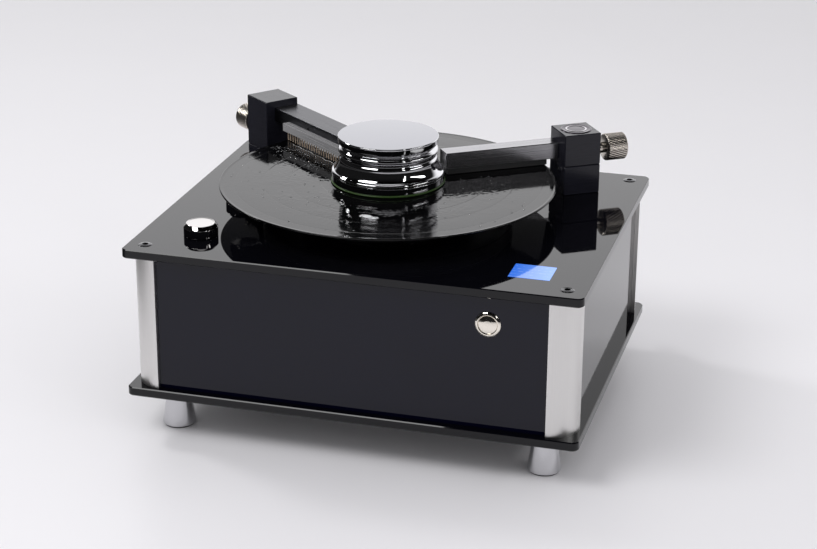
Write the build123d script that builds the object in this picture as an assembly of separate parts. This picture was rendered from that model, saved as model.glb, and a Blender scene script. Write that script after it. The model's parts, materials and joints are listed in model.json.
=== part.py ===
"""Record cleaning machine: a turntable on a four-column case, with a brush arm and a suction arm.

Millimetres. +X runs to the right along the front edge, +Y to the back and +Z up. Pieces are
placed from the floor under the plates' middle. Once all are made, they are moved so that the
origin is on the floor under the middle of the overall box, and each node gets its STEP file.
"""
import os
from math import atan2, degrees, hypot, sqrt

from build123d import *

os.makedirs("parts", exist_ok=True)

# --- running fits -------------------------------------------------------------------------
fit = 0.05            # radial clearance of a screw or a shaft in its hole
gap = 0.3             # clearance between pieces that pass each other

# --- case ---------------------------------------------------------------------------------
plate_w, plate_d, plate_t = 400.0, 320.0, 8.0
plate_corner = 6.0
plate_edge = 0.8
foot_h = 37.0
column_h = 120.0
overhang = 4.0        # plates stand this far proud of the columns
column_r = 24.5       # the columns are quarter rounds of this radius
column_screw = 12.0   # screw axis from the column's inner corner, each way
panel_t = 4.0
panel_recess = 3.5    # panels sit this far behind the columns' outer faces
panel_slot = 4.0      # depth of the columns' slots for the panels
slot_clear = 0.5      # panel edge to slot bottom
hollow_r = 3.6        # lightening core of the columns
hollow_at = 6.0

z_base = foot_h
z_floor = z_base + plate_t
z_ceiling = z_floor + column_h
deck = z_ceiling + plate_t

column_x = plate_w / 2 - overhang - column_r
column_y = plate_d / 2 - overhang - column_r
front_y = -(plate_d / 2 - overhang - panel_recess)
side_x = plate_w / 2 - overhang - panel_recess
screw_x = column_x + column_screw
screw_y = column_y + column_screw

# --- screws and feet ----------------------------------------------------------------------
shank_r, shank_l = 3.0, 14.0
hole_clear = 0.2
button_head_r, button_head_h = 6.0, 3.3
socket_af, socket_depth = 4.0, 2.0
foot_inset = 34.5
foot_r_low, foot_r_top = 14.7, 11.25
foot_edge = 0.8
pad_r, pad_t, pad_sunk = 13.0, 2.5, 1.0
foot_thread = 18.0
bolt_head_r, bolt_head_h = 5.0, 6.0
foot_x = plate_w / 2 - foot_inset
foot_y = plate_d / 2 - foot_inset

# --- turntable ----------------------------------------------------------------------------
spindle_x, spindle_y = -11.0, 5.0
record_r, record_t = 150.5, 2.0
record_top = 26.4     # above the deck
label_r, groove_sunk = 50.0, 0.35
rim_w, hole_r = 3.0, 3.65
mat_r, mat_t = 110.0, 2.0
platter_r, platter_t, platter_edge = 112.0, 14.0, 1.5
hub_r, hub_gap = 14.0, 0.6
rib_ring_r, rib_ring_w, platter_web, platter_wall = 70.0, 6.0, 5.0, 6.0
spindle_pin_r, spindle_pin_up = 3.55, 14.0
shaft_r = 6.0
sleeve_r, sleeve_l = 14.0, 50.0
flange_r, flange_t = 32.0, 6.0
flange_circle_r, flange_screw_r, flange_screw_bite = 24.0, 2.0, 6.0
flange_head_r, flange_head_h = 3.5, 4.0
flange_screws, flange_turn = 4, 45.0
pulley_r, pulley_w, pulley_gap = 45.0, 12.0, 2.0
pulley_lip, pulley_lip_w = 2.0, 2.0
pulley_hub_r, pulley_web = 13.0, 4.0
motor_away = 85.0     # from the spindle, towards the front
motor_pulley_r = 12.0
motor_r, motor_neck_r, motor_neck_h = 20.0, 6.0, 4.0
motor_shaft_r = 3.0
motor_base_r, motor_base_t = 24.0, 3.0
belt_t = 1.2

platter_base = record_top - record_t - mat_t - platter_t
sleeve_end = z_ceiling - sleeve_l
pulley_top = sleeve_end - pulley_gap
pulley_base = pulley_top - pulley_w
belt_w = pulley_w - 2 * pulley_lip_w - 2 * gap
motor_top = pulley_base - motor_neck_h

# --- clamp, heights above the record ------------------------------------------------------
clamp_h = 42.7
clamp_rim_r, clamp_rim_h = 45.0, 6.6
clamp_neck_r, clamp_neck_h = 41.5, 3.6
clamp_bead_r, clamp_bead_h = 44.6, 5.2
clamp_waist_r = 43.0
clamp_base_r, clamp_band_h = 50.3, 8.6
clamp_lip_h = 3.2
clamp_cove_h = 7.0
clamp_cove_swell, clamp_cove_low = 1.8, 0.4   # where the cove's arc passes
clamp_groove = 0.5
seal_r, seal_in_r, seal_t, seal_edge = 51.0, 46.0, 2.0, 0.6
clamp_bore_r, clamp_bore_h = 3.65, 18.0

# --- arm posts, heights above the deck ----------------------------------------------------
block_w, block_h, block_edge = 35.0, 57.0, 0.6
bore_roof = 7.0
pivot_r, pivot_foot_r, pivot_drop = 8.0, 6.0, 16.0
nipple_l, nipple_wall = 12.0, 1.0
nut_af, nut_t = 17.0, 6.0
thumb_r, thumb_l, thumb_edge = 12.5, 19.4, 1.2
thumb_neck_r, thumb_shank_r = 5.0, 3.0
tenon_l, brush_tenon = 7.0, 6.5

brush_post_inset_x, brush_post_inset_y = 37.71, 32.92   # post axis from the plate's left and back edge
brush_base_h = 8.0
brush_thumb_z, brush_thumb_neck = 25.4, 12.4
brush_inner_clear = 4.2        # beam's inner end to the clamp
brush_beam_far, brush_beam_near = -17.5, 8.0
brush_beam_z, brush_beam_h = 37.2, 13.5
brush_duct_r, brush_drip_r, brush_drips = 2.0, 1.0, 5
holder_past, holder_clear = 1.5, 4.7   # past the record's edge, and to the clamp
holder_far, holder_near = -1.0, 15.0
holder_z, holder_h = 35.8, 7.2
slot_far, slot_near, slot_h = 9.5, 13.5, 4.0
bristle_in, bristle_splay_far, bristle_splay_near = 2.0, 2.0, 1.0
drip_inset = 2.5   # drip holes behind the beam's near face
grub_at, grub_z, grub_r, grub_depth = 119.3, 44.5, 1.3, 4.0

suction_post_inset_y = 53.34   # post axis from the plate's back edge
suction_post_clear = 12.4      # block to the record's edge
suction_base_h = 27.0
suction_thumb_z, suction_thumb_neck = 37.0, 10.7
suction_inner_clear = 3.4      # tube's inner end to the clamp
suction_beam_near, suction_beam_far = -2.7, 14.0
suction_beam_z, suction_beam_h = 31.5, 15.0
suction_wall, suction_slot_w = 4.0, 2.5
lip_past, lip_clear = 1.0, 5.2   # past the record's edge, and to the clamp
lip_inset, lip_split = 0.5, 1.4
slot_in_from_lip, slot_out_from_lip = 3.5, 2.5
air_bore_r, air_port_r = 4.0, 3.4
head_cap_r, head_cap_sunk, head_cap_dome, head_cap_edge = 14.5, 1.5, 0.8, 0.7
stop_r, stop_up, stop_y, stop_z, stop_shank_r = 2.4, 2.2, -7.0, 22.5, 1.5
stop_shank_l, stop_socket_r = 8.0, 1.1

brush_inner, suction_inner = clamp_base_r + brush_inner_clear, clamp_base_r + suction_inner_clear
holder_inner, holder_outer = clamp_base_r + holder_clear, record_r + holder_past
lip_in, lip_out = clamp_base_r + lip_clear, record_r + lip_past
suction_slot_in, suction_slot_out = lip_in + slot_in_from_lip, lip_out - slot_out_from_lip
suction_post_at = record_r + suction_post_clear + block_w / 2

# --- controls -----------------------------------------------------------------------------
knob_inset_x, knob_inset_y = 53.1, 53.2   # from the left and front edge
knob_r, knob_h, knob_gap = 15.0, 10.7, 0.5
knob_bevel_h, knob_bevel_w = 3.2, 2.6
knob_shaft_r, knob_shaft_l, knob_bore_h = 3.0, 12.0, 7.5
encoder_w, encoder_h, encoder_bush_r = 14.0, 7.0, 4.5
display_inset_x, display_inset_y = 52.4, 47.9   # from the right and front edge
display_w, display_d, display_t = 35.0, 30.5, 2.0
display_gap = 0.15
module_w, module_d, module_t = 44.0, 38.0, 9.0
button_inset_x, button_down = 79.8, 25.8   # from the right edge, and below the top plate
bezel_r, bezel_out, bezel_edge, barrel_r, barrel_l = 11.1, 2.4, 1.9, 8.0, 24.0
cap_r, cap_out, cap_edge, cap_travel, cap_l = 8.5, 1.0, 0.6, 1.8, 6.0
cap_well = 9.0
ring_nut_r, ring_nut_t = 11.5, 3.0

knob_x, knob_y = knob_inset_x - plate_w / 2, knob_inset_y - plate_d / 2
display_x, display_y = plate_w / 2 - display_inset_x, display_inset_y - plate_d / 2
button_x, button_z = plate_w / 2 - button_inset_x, z_ceiling - button_down

# --- fluid and air parts inside the case --------------------------------------------------
case_clear = 3.5      # tanks to the side panels
filler_cap_r, filler_cap_h = 15.0, 10.7
filler_plug_r, filler_plug_l = 8.0, 9.0
filler_clear = 3.2    # filler cap to the platter
neck_r, neck_flange_r, neck_flange_t = 11.0, 15.0, 1.2
spout_l, spout_wall = 10.0, 1.0
hose_grip = 1.0       # hose ends stop this far from the face the spout stands on
pump_r, pump_l, pump_head, pump_up = 13.0, 46.0, 26.0, 19.0
pump_clear = 17.5     # pump to the rear panel
feed_l = 33.0         # clean tank to pump
tank_w, tank_d, tank_h, tank_wall = 70.0, 140.0, 90.0, 3.0
tank_edge = 6.0
turbine_r, turbine_h = 40.0, 52.0
turbine_cap_r, turbine_cap_h = 28.0, 18.0
turbine_clear = 16.5  # turbine to the rear panel
turbine_gap = 1.0     # turbine beside the waste tank
exhaust_r, exhaust_wall, exhaust_up = 15.0, 2.0, 27.0
grille_w, grille_h, grille_slots, grille_pitch = 34.0, 3.0, 5, 6.0
waste_w, waste_d, waste_h = 84.0, 130.0, 90.0
waste_gap = 5.0       # waste tank in front of the turbine
air_in_down = 55.0    # below the top plate
air_out_inset = 11.0  # from the waste tank's inner side
supply_w, supply_d, supply_h = 108.0, 50.0, 36.0
supply_clear = 11.5   # power supply to the rear panel
board_w, board_d, board_t, board_up = 76.0, 56.0, 1.6, 6.0
board_gap, board_clear = 3.0, 15.5   # from the motor, and from the front panel
chip_w, chip_h, chip_step = 12.0, 3.0, 22.0
standoff_r, standoff_in = 3.0, 5.0
inlet_down = 53.0     # below the top plate
inlet_w, inlet_h, inlet_l = 27.0, 20.0, 22.0
inlet_flange_w, inlet_flange_h, inlet_flange_t = 31.0, 24.0, 2.5
inlet_well_w, inlet_well_h, inlet_well_l = 23.5, 15.8, 18.0
blade_w, blade_t, blade_l, blade_step = 2.0, 4.0, 13.0, 7.0
drain_inset, drain_up = 35.0, 17.0   # from the waste tank's outer side, and above the floor
drain_body_r, drain_flange_r, drain_flange_t = 6.0, 9.0, 2.0
drain_body_out, drain_bore_r = 14.0, 3.0
outlet_r, outlet_l = 5.0, 14.0
drain_turn_y, drain_turn_r, drain_turn_up = 12.0, 4.0, 9.0
lever_w, lever_l, lever_t, lever_cap_r = 7.0, 20.0, 3.0, 5.0
air_hose_wall, air_bend = 2.0, 14.0
fluid_duct_r, fluid_hose_wall, fluid_bend = 2.0, 1.5, 12.0
fluid_hose_down = 55.0   # below the top plate

rear_y = -front_y - panel_t
case_x = side_x - panel_t - case_clear
tank_x, waste_x = tank_w / 2 - case_x, case_x - waste_w / 2
pump_x, pump_y, pump_z = tank_x, rear_y - pump_clear - pump_l / 2, z_floor + pump_up
head_y = pump_y - pump_l / 2
tank_y = head_y - feed_l - tank_d / 2
filler_x, filler_y = spindle_x - platter_r - filler_clear - filler_cap_r, tank_y
turbine_x = case_x - waste_w - turbine_gap - turbine_r
turbine_y = rear_y - turbine_clear - turbine_r
waste_y = turbine_y - turbine_r - waste_gap - waste_d / 2
exhaust_z, air_in_z = z_floor + exhaust_up, z_ceiling - air_in_down
air_out_x = case_x - waste_w + air_out_inset
supply_x = (pump_x + pump_head / 2 + turbine_x - turbine_r) / 2
supply_y = rear_y - supply_clear - supply_d / 2
board_x = spindle_x + motor_base_r + board_gap + board_w / 2
board_y = front_y + panel_t + board_clear + board_d / 2
inlet_x, inlet_z = supply_x, z_ceiling - inlet_down
drain_x, drain_z = case_x - drain_inset, z_floor + drain_up
fluid_hose_z = z_ceiling - fluid_hose_down

BASE = (Align.CENTER, Align.CENTER, Align.MIN)
LOW = (Align.MIN, Align.MIN, Align.MIN)
CORNERS = [(-1, -1), (1, -1), (-1, 1), (1, 1)]


def rod(x, y, z, radius, height):
    """Upright cylinder standing on z."""
    return Pos(x, y, z) * Cylinder(radius, height, align=BASE)


def rod_x(x, y, z, radius, length):
    """Cylinder that runs along +X from x."""
    return Pos(x, y, z) * Rot(0, 90, 0) * Cylinder(radius, length, align=BASE)


def rod_y(x, y, z, radius, length):
    """Cylinder that runs along +Y from y."""
    return Pos(x, y, z) * Rot(-90, 0, 0) * Cylinder(radius, length, align=BASE)


def block(x0, x1, y0, y1, z0, z1):
    """Box between two limits on each axis."""
    return Pos(x0, y0, z0) * Box(x1 - x0, y1 - y0, z1 - z0, align=LOW)


def middle_block(x, y, z, width, depth, height):
    """Box centred on x and y and standing on z."""
    return Pos(x, y, z) * Box(width, depth, height, align=BASE)


def turned(points):
    """Solid turned about the Z axis from an outline of (radius, height) points."""
    outline = Plane.XZ * make_face(Polyline(*points, close=True))
    return revolve(outline, Axis.Z)


def hex_bar(across_flats, height):
    """Hexagonal bar that stands on the origin."""
    return extrude(RegularPolygon(across_flats / 2, 6, major_radius=False), height)


def hose(points, radius, inner, bend):
    """Hose swept along straight runs joined by round bends."""
    path = FilletPolyline(*points, radius=bend)
    start = Plane(path @ 0, z_dir=path % 0)
    return sweep(start * (Circle(radius) - Circle(inner)), path)


def group(solids):
    """Separate solids kept together as one node."""
    return Compound(children=list(solids))


nodes = {}


def save(node, shape):
    """Keep one node until all are made."""
    nodes[node] = shape


# --- plates -------------------------------------------------------------------------------
def plate(z):
    """Acrylic plate with rounded corners and broken edges."""
    sheet = extrude(RectangleRounded(plate_w, plate_d, plate_corner), plate_t)
    sheet = chamfer(sheet.faces().sort_by(Axis.Z)[-1].edges(), plate_edge)
    sheet = chamfer(sheet.faces().sort_by(Axis.Z)[0].edges(), plate_edge)
    return Pos(0, 0, z) * sheet


def arm_frame(angle):
    """Frame of an arm: X is the distance from the spindle, Y is across and Z is above the deck."""
    return Pos(spindle_x, spindle_y, deck) * Rot(0, 0, angle)


brush_px, brush_py = brush_post_inset_x - plate_w / 2, plate_d / 2 - brush_post_inset_y
brush_post_at = hypot(brush_px - spindle_x, brush_py - spindle_y)
brush_angle = degrees(atan2(brush_py - spindle_y, brush_px - spindle_x))
suction_py = plate_d / 2 - suction_post_inset_y
suction_px = spindle_x + sqrt(suction_post_at**2 - (suction_py - spindle_y)**2)
suction_angle = degrees(atan2(suction_py - spindle_y, suction_px - spindle_x))

bottom_plate = plate(z_base)
for sx, sy in CORNERS:
    bottom_plate -= rod(sx * screw_x, sy * screw_y, z_base, shank_r + hole_clear, plate_t)
    sink = Cone(button_head_r + fit, shank_r + fit, button_head_h, align=BASE)
    bottom_plate -= Pos(sx * screw_x, sy * screw_y, z_base) * sink
    bottom_plate -= rod(sx * foot_x, sy * foot_y, z_base, shank_r + hole_clear, plate_t)
save("bottom_plate", bottom_plate)

top_plate = plate(z_ceiling)
for sx, sy in CORNERS:
    top_plate -= rod(sx * screw_x, sy * screw_y, z_ceiling, shank_r + hole_clear, plate_t)
for px, py in ((brush_px, brush_py), (suction_px, suction_py)):
    top_plate -= rod(px, py, z_ceiling, pivot_foot_r + fit, plate_t)
top_plate -= rod(spindle_x, spindle_y, z_ceiling, sleeve_r, plate_t)
flange_spots = [loc.position for loc in PolarLocations(flange_circle_r, flange_screws, flange_turn)]
for spot in flange_spots:
    px, py = spindle_x + spot.X, spindle_y + spot.Y
    top_plate -= rod(px, py, z_ceiling, flange_screw_r + fit, flange_screw_bite)
top_plate -= rod(knob_x, knob_y, z_ceiling, encoder_bush_r + fit, plate_t)
top_plate -= rod(filler_x, filler_y, z_ceiling, neck_r, plate_t)
display_hole = (display_w + 2 * display_gap, display_d + 2 * display_gap)
top_plate -= middle_block(display_x, display_y, z_ceiling, *display_hole, plate_t)
save("top_plate", top_plate)

# --- columns: extruded quarter rounds with a slot for each panel --------------------------
quarter = Circle(column_r) & Pos(column_r / 2, column_r / 2) * Rectangle(column_r, column_r)
slot_from = column_r - panel_recess - panel_t - fit
slot_w = panel_t + 2 * fit
slot_mid = slot_from + slot_w / 2
quarter -= Pos(panel_slot / 2, slot_mid) * Rectangle(panel_slot, slot_w)
quarter -= Pos(slot_mid, panel_slot / 2) * Rectangle(slot_w, panel_slot)
quarter -= Pos(column_screw, column_screw) * Circle(shank_r + fit)
quarter -= Pos(hollow_at, hollow_at) * Circle(hollow_r)
column = extrude(quarter, column_h)
columns = []
for sx, sy, turn in ((1, 1, 0), (-1, 1, 90), (-1, -1, 180), (1, -1, 270)):
    columns.append(Pos(sx * column_x, sy * column_y, z_floor) * Rot(0, 0, turn) * column)
save("corner_columns", group(columns))

# --- panels -------------------------------------------------------------------------------
reach_x = column_x + panel_slot - slot_clear
reach_y = column_y + panel_slot - slot_clear
button_hole = rod_y(button_x, front_y, button_z, barrel_r + fit, panel_t)
front_panel = block(-reach_x, reach_x, front_y, front_y + panel_t, z_floor, z_ceiling)
save("front_panel", front_panel - button_hole)
for name, sx in (("left_panel", -1), ("right_panel", 1)):
    inner, outer = sorted((sx * side_x, sx * (side_x - panel_t)))
    save(name, block(inner, outer, -reach_y, reach_y, z_floor, z_ceiling))

rear_panel = block(-reach_x, reach_x, rear_y, rear_y + panel_t, z_floor, z_ceiling)
inlet_cut = (inlet_w + 2 * fit, panel_t, inlet_h + 2 * fit)
rear_panel -= Pos(inlet_x, rear_y + panel_t / 2, inlet_z) * Box(*inlet_cut)
rear_panel -= rod_y(drain_x, rear_y, drain_z, drain_body_r + fit, panel_t)
for k in range(grille_slots):
    slot_z = exhaust_z + (k - (grille_slots - 1) / 2) * grille_pitch
    slot = SlotOverall(grille_w, grille_h)
    cut = Pos(turbine_x, rear_y, slot_z) * Rot(-90, 0, 0) * extrude(slot, panel_t)
    rear_panel -= cut
save("rear_panel", rear_panel)

# --- feet and screws ----------------------------------------------------------------------
foot = turned([
    (shank_r + fit, pad_t),
    (pad_r + fit, pad_t),
    (pad_r + fit, pad_t - pad_sunk),
    (foot_r_low - foot_edge, pad_t - pad_sunk),
    (foot_r_low, pad_t - pad_sunk + foot_edge),
    (foot_r_top + foot_edge / 4, foot_h - foot_edge),
    (foot_r_top - foot_edge / 2, foot_h),
    (shank_r + fit, foot_h),
])
pad = Cylinder(pad_r, pad_t, align=BASE)
foot_bolt = Pos(0, 0, foot_h + plate_t) * Cylinder(bolt_head_r, bolt_head_h, align=BASE)
foot_bolt -= Pos(0, 0, z_floor + bolt_head_h / 2) * hex_bar(socket_af, bolt_head_h / 2)
foot_bolt += Pos(0, 0, foot_h - foot_thread) * Cylinder(shank_r, foot_thread + plate_t, align=BASE)
dome_r = (button_head_r**2 + button_head_h**2) / (2 * button_head_h)
dome = Pos(0, 0, button_head_h - dome_r) * Sphere(dome_r)
dome &= Cylinder(button_head_r, button_head_h, align=BASE)
button_screw = dome - Pos(0, 0, button_head_h - socket_depth) * hex_bar(socket_af, button_head_h)
button_screw += Pos(0, 0, -plate_t - shank_l) * Cylinder(shank_r, plate_t + shank_l, align=BASE)
sunk_screw = Cone(button_head_r, shank_r, button_head_h, align=BASE)
sunk_screw -= hex_bar(socket_af, socket_depth)
sunk_screw += rod(0, 0, button_head_h, shank_r, plate_t + shank_l - button_head_h)
foot_spots = [Pos(sx * foot_x, sy * foot_y, 0) for sx, sy in CORNERS]
save("feet", group(spot * foot for spot in foot_spots))
save("foot_pads", group(spot * pad for spot in foot_spots))
save("foot_bolts", group(spot * foot_bolt for spot in foot_spots))
corner_spots = [(sx * screw_x, sy * screw_y) for sx, sy in CORNERS]
save("top_plate_screws", group(Pos(x, y, deck) * button_screw for x, y in corner_spots))
save("base_screws", group(Pos(x, y, z_base) * sunk_screw for x, y in corner_spots))

# --- turntable ----------------------------------------------------------------------------
at_spindle = Pos(spindle_x, spindle_y, 0)
housing = rod(0, 0, sleeve_end, sleeve_r, sleeve_l + plate_t)
housing += rod(0, 0, z_ceiling - flange_t, flange_r, flange_t)
housing -= rod(0, 0, sleeve_end, shaft_r + fit, sleeve_l + plate_t)
for spot in flange_spots:
    hole = rod(spot.X, spot.Y, z_ceiling - flange_t, flange_screw_r + fit, flange_t)
    housing -= hole
save("bearing_housing", at_spindle * housing)

flange_screw = rod(0, 0, z_ceiling - flange_t - flange_head_h, flange_head_r, flange_head_h)
flange_screw += rod(0, 0, z_ceiling - flange_t, flange_screw_r, flange_t + flange_screw_bite)
save("bearing_screws", group(at_spindle * Pos(s.X, s.Y, 0) * flange_screw for s in flange_spots))

platter_z = deck + platter_base
shaft_top = platter_z + platter_t
shaft = rod(0, 0, pulley_base, shaft_r, shaft_top - pulley_base)
shaft += rod(0, 0, shaft_top, spindle_pin_r, mat_t + record_t + spindle_pin_up)
shaft = chamfer(shaft.edges().sort_by(Axis.Z)[-1], spindle_pin_r / 3)
save("spindle_shaft", at_spindle * shaft)

platter = chamfer(Cylinder(platter_r, platter_t, align=BASE).edges(), platter_edge)
ring_gap = Circle(platter_r - platter_wall) - Circle(rib_ring_r + rib_ring_w)
ring_gap += Circle(rib_ring_r) - Circle(hub_r + platter_web)
platter -= extrude(ring_gap, platter_t - platter_web)
platter += Pos(0, 0, hub_gap - platter_base) * Cylinder(hub_r, platter_base - hub_gap, align=BASE)
platter -= Pos(0, 0, hub_gap - platter_base) * Cylinder(shaft_r, platter_t + platter_base, align=BASE)
save("platter", at_spindle * Pos(0, 0, platter_z) * platter)
mat = Cylinder(mat_r, mat_t, align=BASE) - Cylinder(hole_r, mat_t, align=BASE)
save("platter_mat", at_spindle * Pos(0, 0, shaft_top) * mat)
record = turned([
    (hole_r, 0),
    (record_r - record_t / 4, 0),
    (record_r, record_t / 3),
    (record_r, record_t * 2 / 3),
    (record_r - record_t / 4, record_t),
    (record_r - rim_w, record_t - groove_sunk),
    (label_r + rim_w, record_t - groove_sunk),
    (label_r + rim_w / 2, record_t),
    (hole_r, record_t),
])
save("record_disc", at_spindle * Pos(0, 0, deck + record_top - record_t) * record)


def pulley(radius, hub, bore):
    """Flat-belt pulley with a lip on each side."""
    wheel = turned([
        (bore, 0),
        (radius + pulley_lip, 0),
        (radius + pulley_lip, pulley_lip_w - gap),
        (radius, pulley_lip_w),
        (radius, pulley_w - pulley_lip_w),
        (radius + pulley_lip, pulley_w - pulley_lip_w + gap),
        (radius + pulley_lip, pulley_w),
        (bore, pulley_w),
    ])
    if radius > 2 * hub:
        hollow = extrude(Circle(radius - pulley_web) - Circle(hub), (pulley_w - pulley_web) / 2)
        wheel -= hollow
        wheel -= Pos(0, 0, (pulley_w + pulley_web) / 2) * hollow
    return wheel


save("driven_pulley", at_spindle * Pos(0, 0, pulley_base) * pulley(pulley_r, pulley_hub_r, shaft_r))
motor_x, motor_y = spindle_x, spindle_y - motor_away
motor_body = rod(0, 0, z_floor, motor_base_r, motor_base_t)
motor_body += rod(0, 0, z_floor + motor_base_t, motor_r, motor_top - z_floor - motor_base_t)
motor_body += rod(0, 0, motor_top, motor_neck_r, motor_neck_h - gap)
motor_body -= rod(0, 0, motor_top - motor_r, motor_shaft_r + fit, motor_r + motor_neck_h)
save("drive_motor", Pos(motor_x, motor_y, 0) * motor_body)
motor_wheel = Pos(0, 0, pulley_base) * pulley(motor_pulley_r, motor_pulley_r, motor_shaft_r)
motor_shaft_low = motor_top - motor_r + gap
motor_wheel += rod(0, 0, motor_shaft_low, motor_shaft_r, pulley_top - motor_shaft_low)
save("motor_pulley", Pos(motor_x, motor_y, 0) * motor_wheel)


def belt_outline(extra):
    """Outline of the belt round the two pulleys, extra away from their faces."""
    wide = Circle(pulley_r + extra)
    small = Pos(0, -motor_away) * Circle(motor_pulley_r + extra)
    return make_hull(wide.edges() + small.edges())


belt = extrude(belt_outline(fit + belt_t) - belt_outline(fit), belt_w)
save("drive_belt", at_spindle * Pos(0, 0, pulley_base + (pulley_w - belt_w) / 2) * belt)

# --- clamp --------------------------------------------------------------------------------
at_record = at_spindle * Pos(0, 0, deck + record_top)
rim_z = clamp_h - clamp_rim_h
neck_z = rim_z - clamp_neck_h
bead_z = neck_z - clamp_bead_h
band_z = clamp_band_h
lip_z = band_z + clamp_lip_h
cove_z = lip_z + clamp_cove_h
with BuildPart() as clamp_build:
    with BuildSketch(Plane.XZ):
        with BuildLine():
            Polyline(
                (clamp_bore_r, clamp_bore_h),
                (clamp_bore_r, seal_t),
                (clamp_base_r - clamp_groove, seal_t),
                (clamp_base_r, seal_t + clamp_groove),
                (clamp_base_r, band_z - clamp_groove),
                (clamp_base_r - clamp_groove, band_z),
            )
            ThreePointArc(
                (clamp_base_r - clamp_groove, band_z),
                (clamp_base_r + clamp_groove, (band_z + lip_z) / 2),
                (clamp_base_r - 2 * clamp_groove, lip_z),
            )
            ThreePointArc(
                (clamp_base_r - 2 * clamp_groove, lip_z),
                (clamp_waist_r + clamp_cove_swell, lip_z + clamp_cove_h * clamp_cove_low),
                (clamp_waist_r, cove_z),
            )
            Line((clamp_waist_r, cove_z), (clamp_waist_r, bead_z))
            ThreePointArc(
                (clamp_waist_r, bead_z),
                (clamp_bead_r, (bead_z + neck_z) / 2),
                (clamp_waist_r - clamp_groove, neck_z),
            )
            ThreePointArc(
                (clamp_waist_r - clamp_groove, neck_z),
                (clamp_neck_r, (neck_z + rim_z) / 2),
                (clamp_rim_r - 2 * clamp_groove, rim_z),
            )
            Polyline(
                (clamp_rim_r - 2 * clamp_groove, rim_z),
                (clamp_rim_r, rim_z + 2 * clamp_groove),
                (clamp_rim_r, rim_z + clamp_rim_h / 3),
                (clamp_rim_r - clamp_groove, rim_z + clamp_rim_h / 3 + clamp_groove),
                (clamp_rim_r, rim_z + clamp_rim_h / 3 + 2 * clamp_groove),
                (clamp_rim_r, clamp_h - clamp_groove),
                (clamp_rim_r - clamp_groove, clamp_h),
                (0, clamp_h),
                (0, clamp_bore_h),
                (clamp_bore_r, clamp_bore_h),
            )
        make_face()
    revolve(axis=Axis.Z)
save("clamp_body", at_record * clamp_build.part)
seal = Cylinder(seal_r, seal_t, align=BASE) - Cylinder(seal_in_r, seal_t, align=BASE)
seal = chamfer(seal.edges().filter_by(GeomType.CIRCLE), seal_edge)
save("clamp_seal", at_record * seal)


# --- arm posts ----------------------------------------------------------------------------
def post_block(low, high):
    """Square block round the post's axis, with broken edges."""
    body = Pos(0, 0, low) * Box(block_w, block_w, high - low, align=BASE)
    return chamfer(body.edges(), block_edge)


def pivot(shoulder_z, top_z, bore):
    """Hollow pivot: hose nipple, threaded foot and a shoulder that holds the base block down."""
    low = -pivot_drop - nipple_l
    tube = Pos(0, 0, low) * Cylinder(bore + nipple_wall, nipple_l, align=BASE)
    tube += Pos(0, 0, -pivot_drop) * Cylinder(pivot_foot_r, pivot_drop + shoulder_z, align=BASE)
    tube += Pos(0, 0, shoulder_z) * Cylinder(pivot_r, top_z - shoulder_z, align=BASE)
    return tube - Pos(0, 0, low) * Cylinder(bore, top_z - low, align=BASE)


def thumb_screw(neck, shank_from):
    """Lock screw along +X; X 0 is the block's outer face and the shank reaches in to shank_from."""
    head = chamfer(Cylinder(thumb_r, thumb_l, align=BASE).edges(), thumb_edge)
    screw = Pos(0, 0, gap + neck) * head
    screw += Pos(0, 0, gap) * Cylinder(thumb_neck_r, neck, align=BASE)
    screw += Pos(0, 0, shank_from) * Cylinder(thumb_shank_r, gap - shank_from, align=BASE)
    return Rot(0, 90, 0) * screw


def base_block(height):
    """Fixed block under the swivelling one."""
    return post_block(0, height) - Cylinder(pivot_foot_r + fit, height, align=BASE)


def swivel_block(low, thumb_z):
    """Swivelling block with its bore for the pivot and its hole for the lock screw."""
    body = post_block(low, block_h)
    body -= Pos(0, 0, low) * Cylinder(pivot_r + fit, block_h - bore_roof - low, align=BASE)
    return body - rod_x(0, 0, thumb_z, thumb_shank_r + fit, block_w)


bore_top = block_h - bore_roof
pivot_top = bore_top - gap
face = block_w / 2
shank_from = pivot_r + gap - face

at_brush = arm_frame(brush_angle)
brush_post = at_brush * Pos(brush_post_at, 0, 0)
brush_face = brush_post_at - face
brush_axis_y = (brush_beam_far + brush_beam_near) / 2
brush_axis_z = brush_beam_z + brush_beam_h / 2
save("brush_base", brush_post * base_block(brush_base_h))
save("brush_pivot", brush_post * pivot(brush_base_h, pivot_top, brush_duct_r))
brush_head = swivel_block(brush_base_h + gap, brush_thumb_z)
brush_head -= Pos(-face, brush_axis_y, brush_axis_z) * Box(2 * tenon_l, brush_tenon, brush_tenon)
brush_head -= rod_x(-face, brush_axis_y, brush_axis_z, brush_duct_r, face)
save("brush_head", brush_post * brush_head)
brush_lock = Pos(face, 0, brush_thumb_z) * thumb_screw(brush_thumb_neck, shank_from)
save("brush_thumb_screw", brush_post * brush_lock)

beam_limits = (brush_inner, brush_face, brush_beam_far, brush_beam_near)
beam = chamfer(
    block(*beam_limits, brush_beam_z, brush_beam_z + brush_beam_h).edges(), block_edge / 2
)
beam += Pos(brush_face, brush_axis_y, brush_axis_z) * Box(2 * tenon_l, brush_tenon, brush_tenon)
beam -= rod_x(holder_inner + tenon_l, brush_axis_y, brush_axis_z, brush_duct_r, brush_face)
beam -= rod_y(grub_at, brush_beam_near - grub_depth, grub_z, grub_r, grub_depth)
brush_holder = block(holder_inner, holder_outer, holder_far, holder_near, holder_z, brush_beam_z)
brush_holder += block(
    holder_inner, holder_outer, brush_beam_near, holder_near, holder_z, holder_z + holder_h
)
bristle_from, bristle_to = holder_inner + bristle_in, holder_outer - bristle_in
brush_holder -= block(bristle_from, bristle_to, slot_far, slot_near, holder_z, holder_z + slot_h)
drip_y = brush_beam_near - drip_inset
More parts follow.
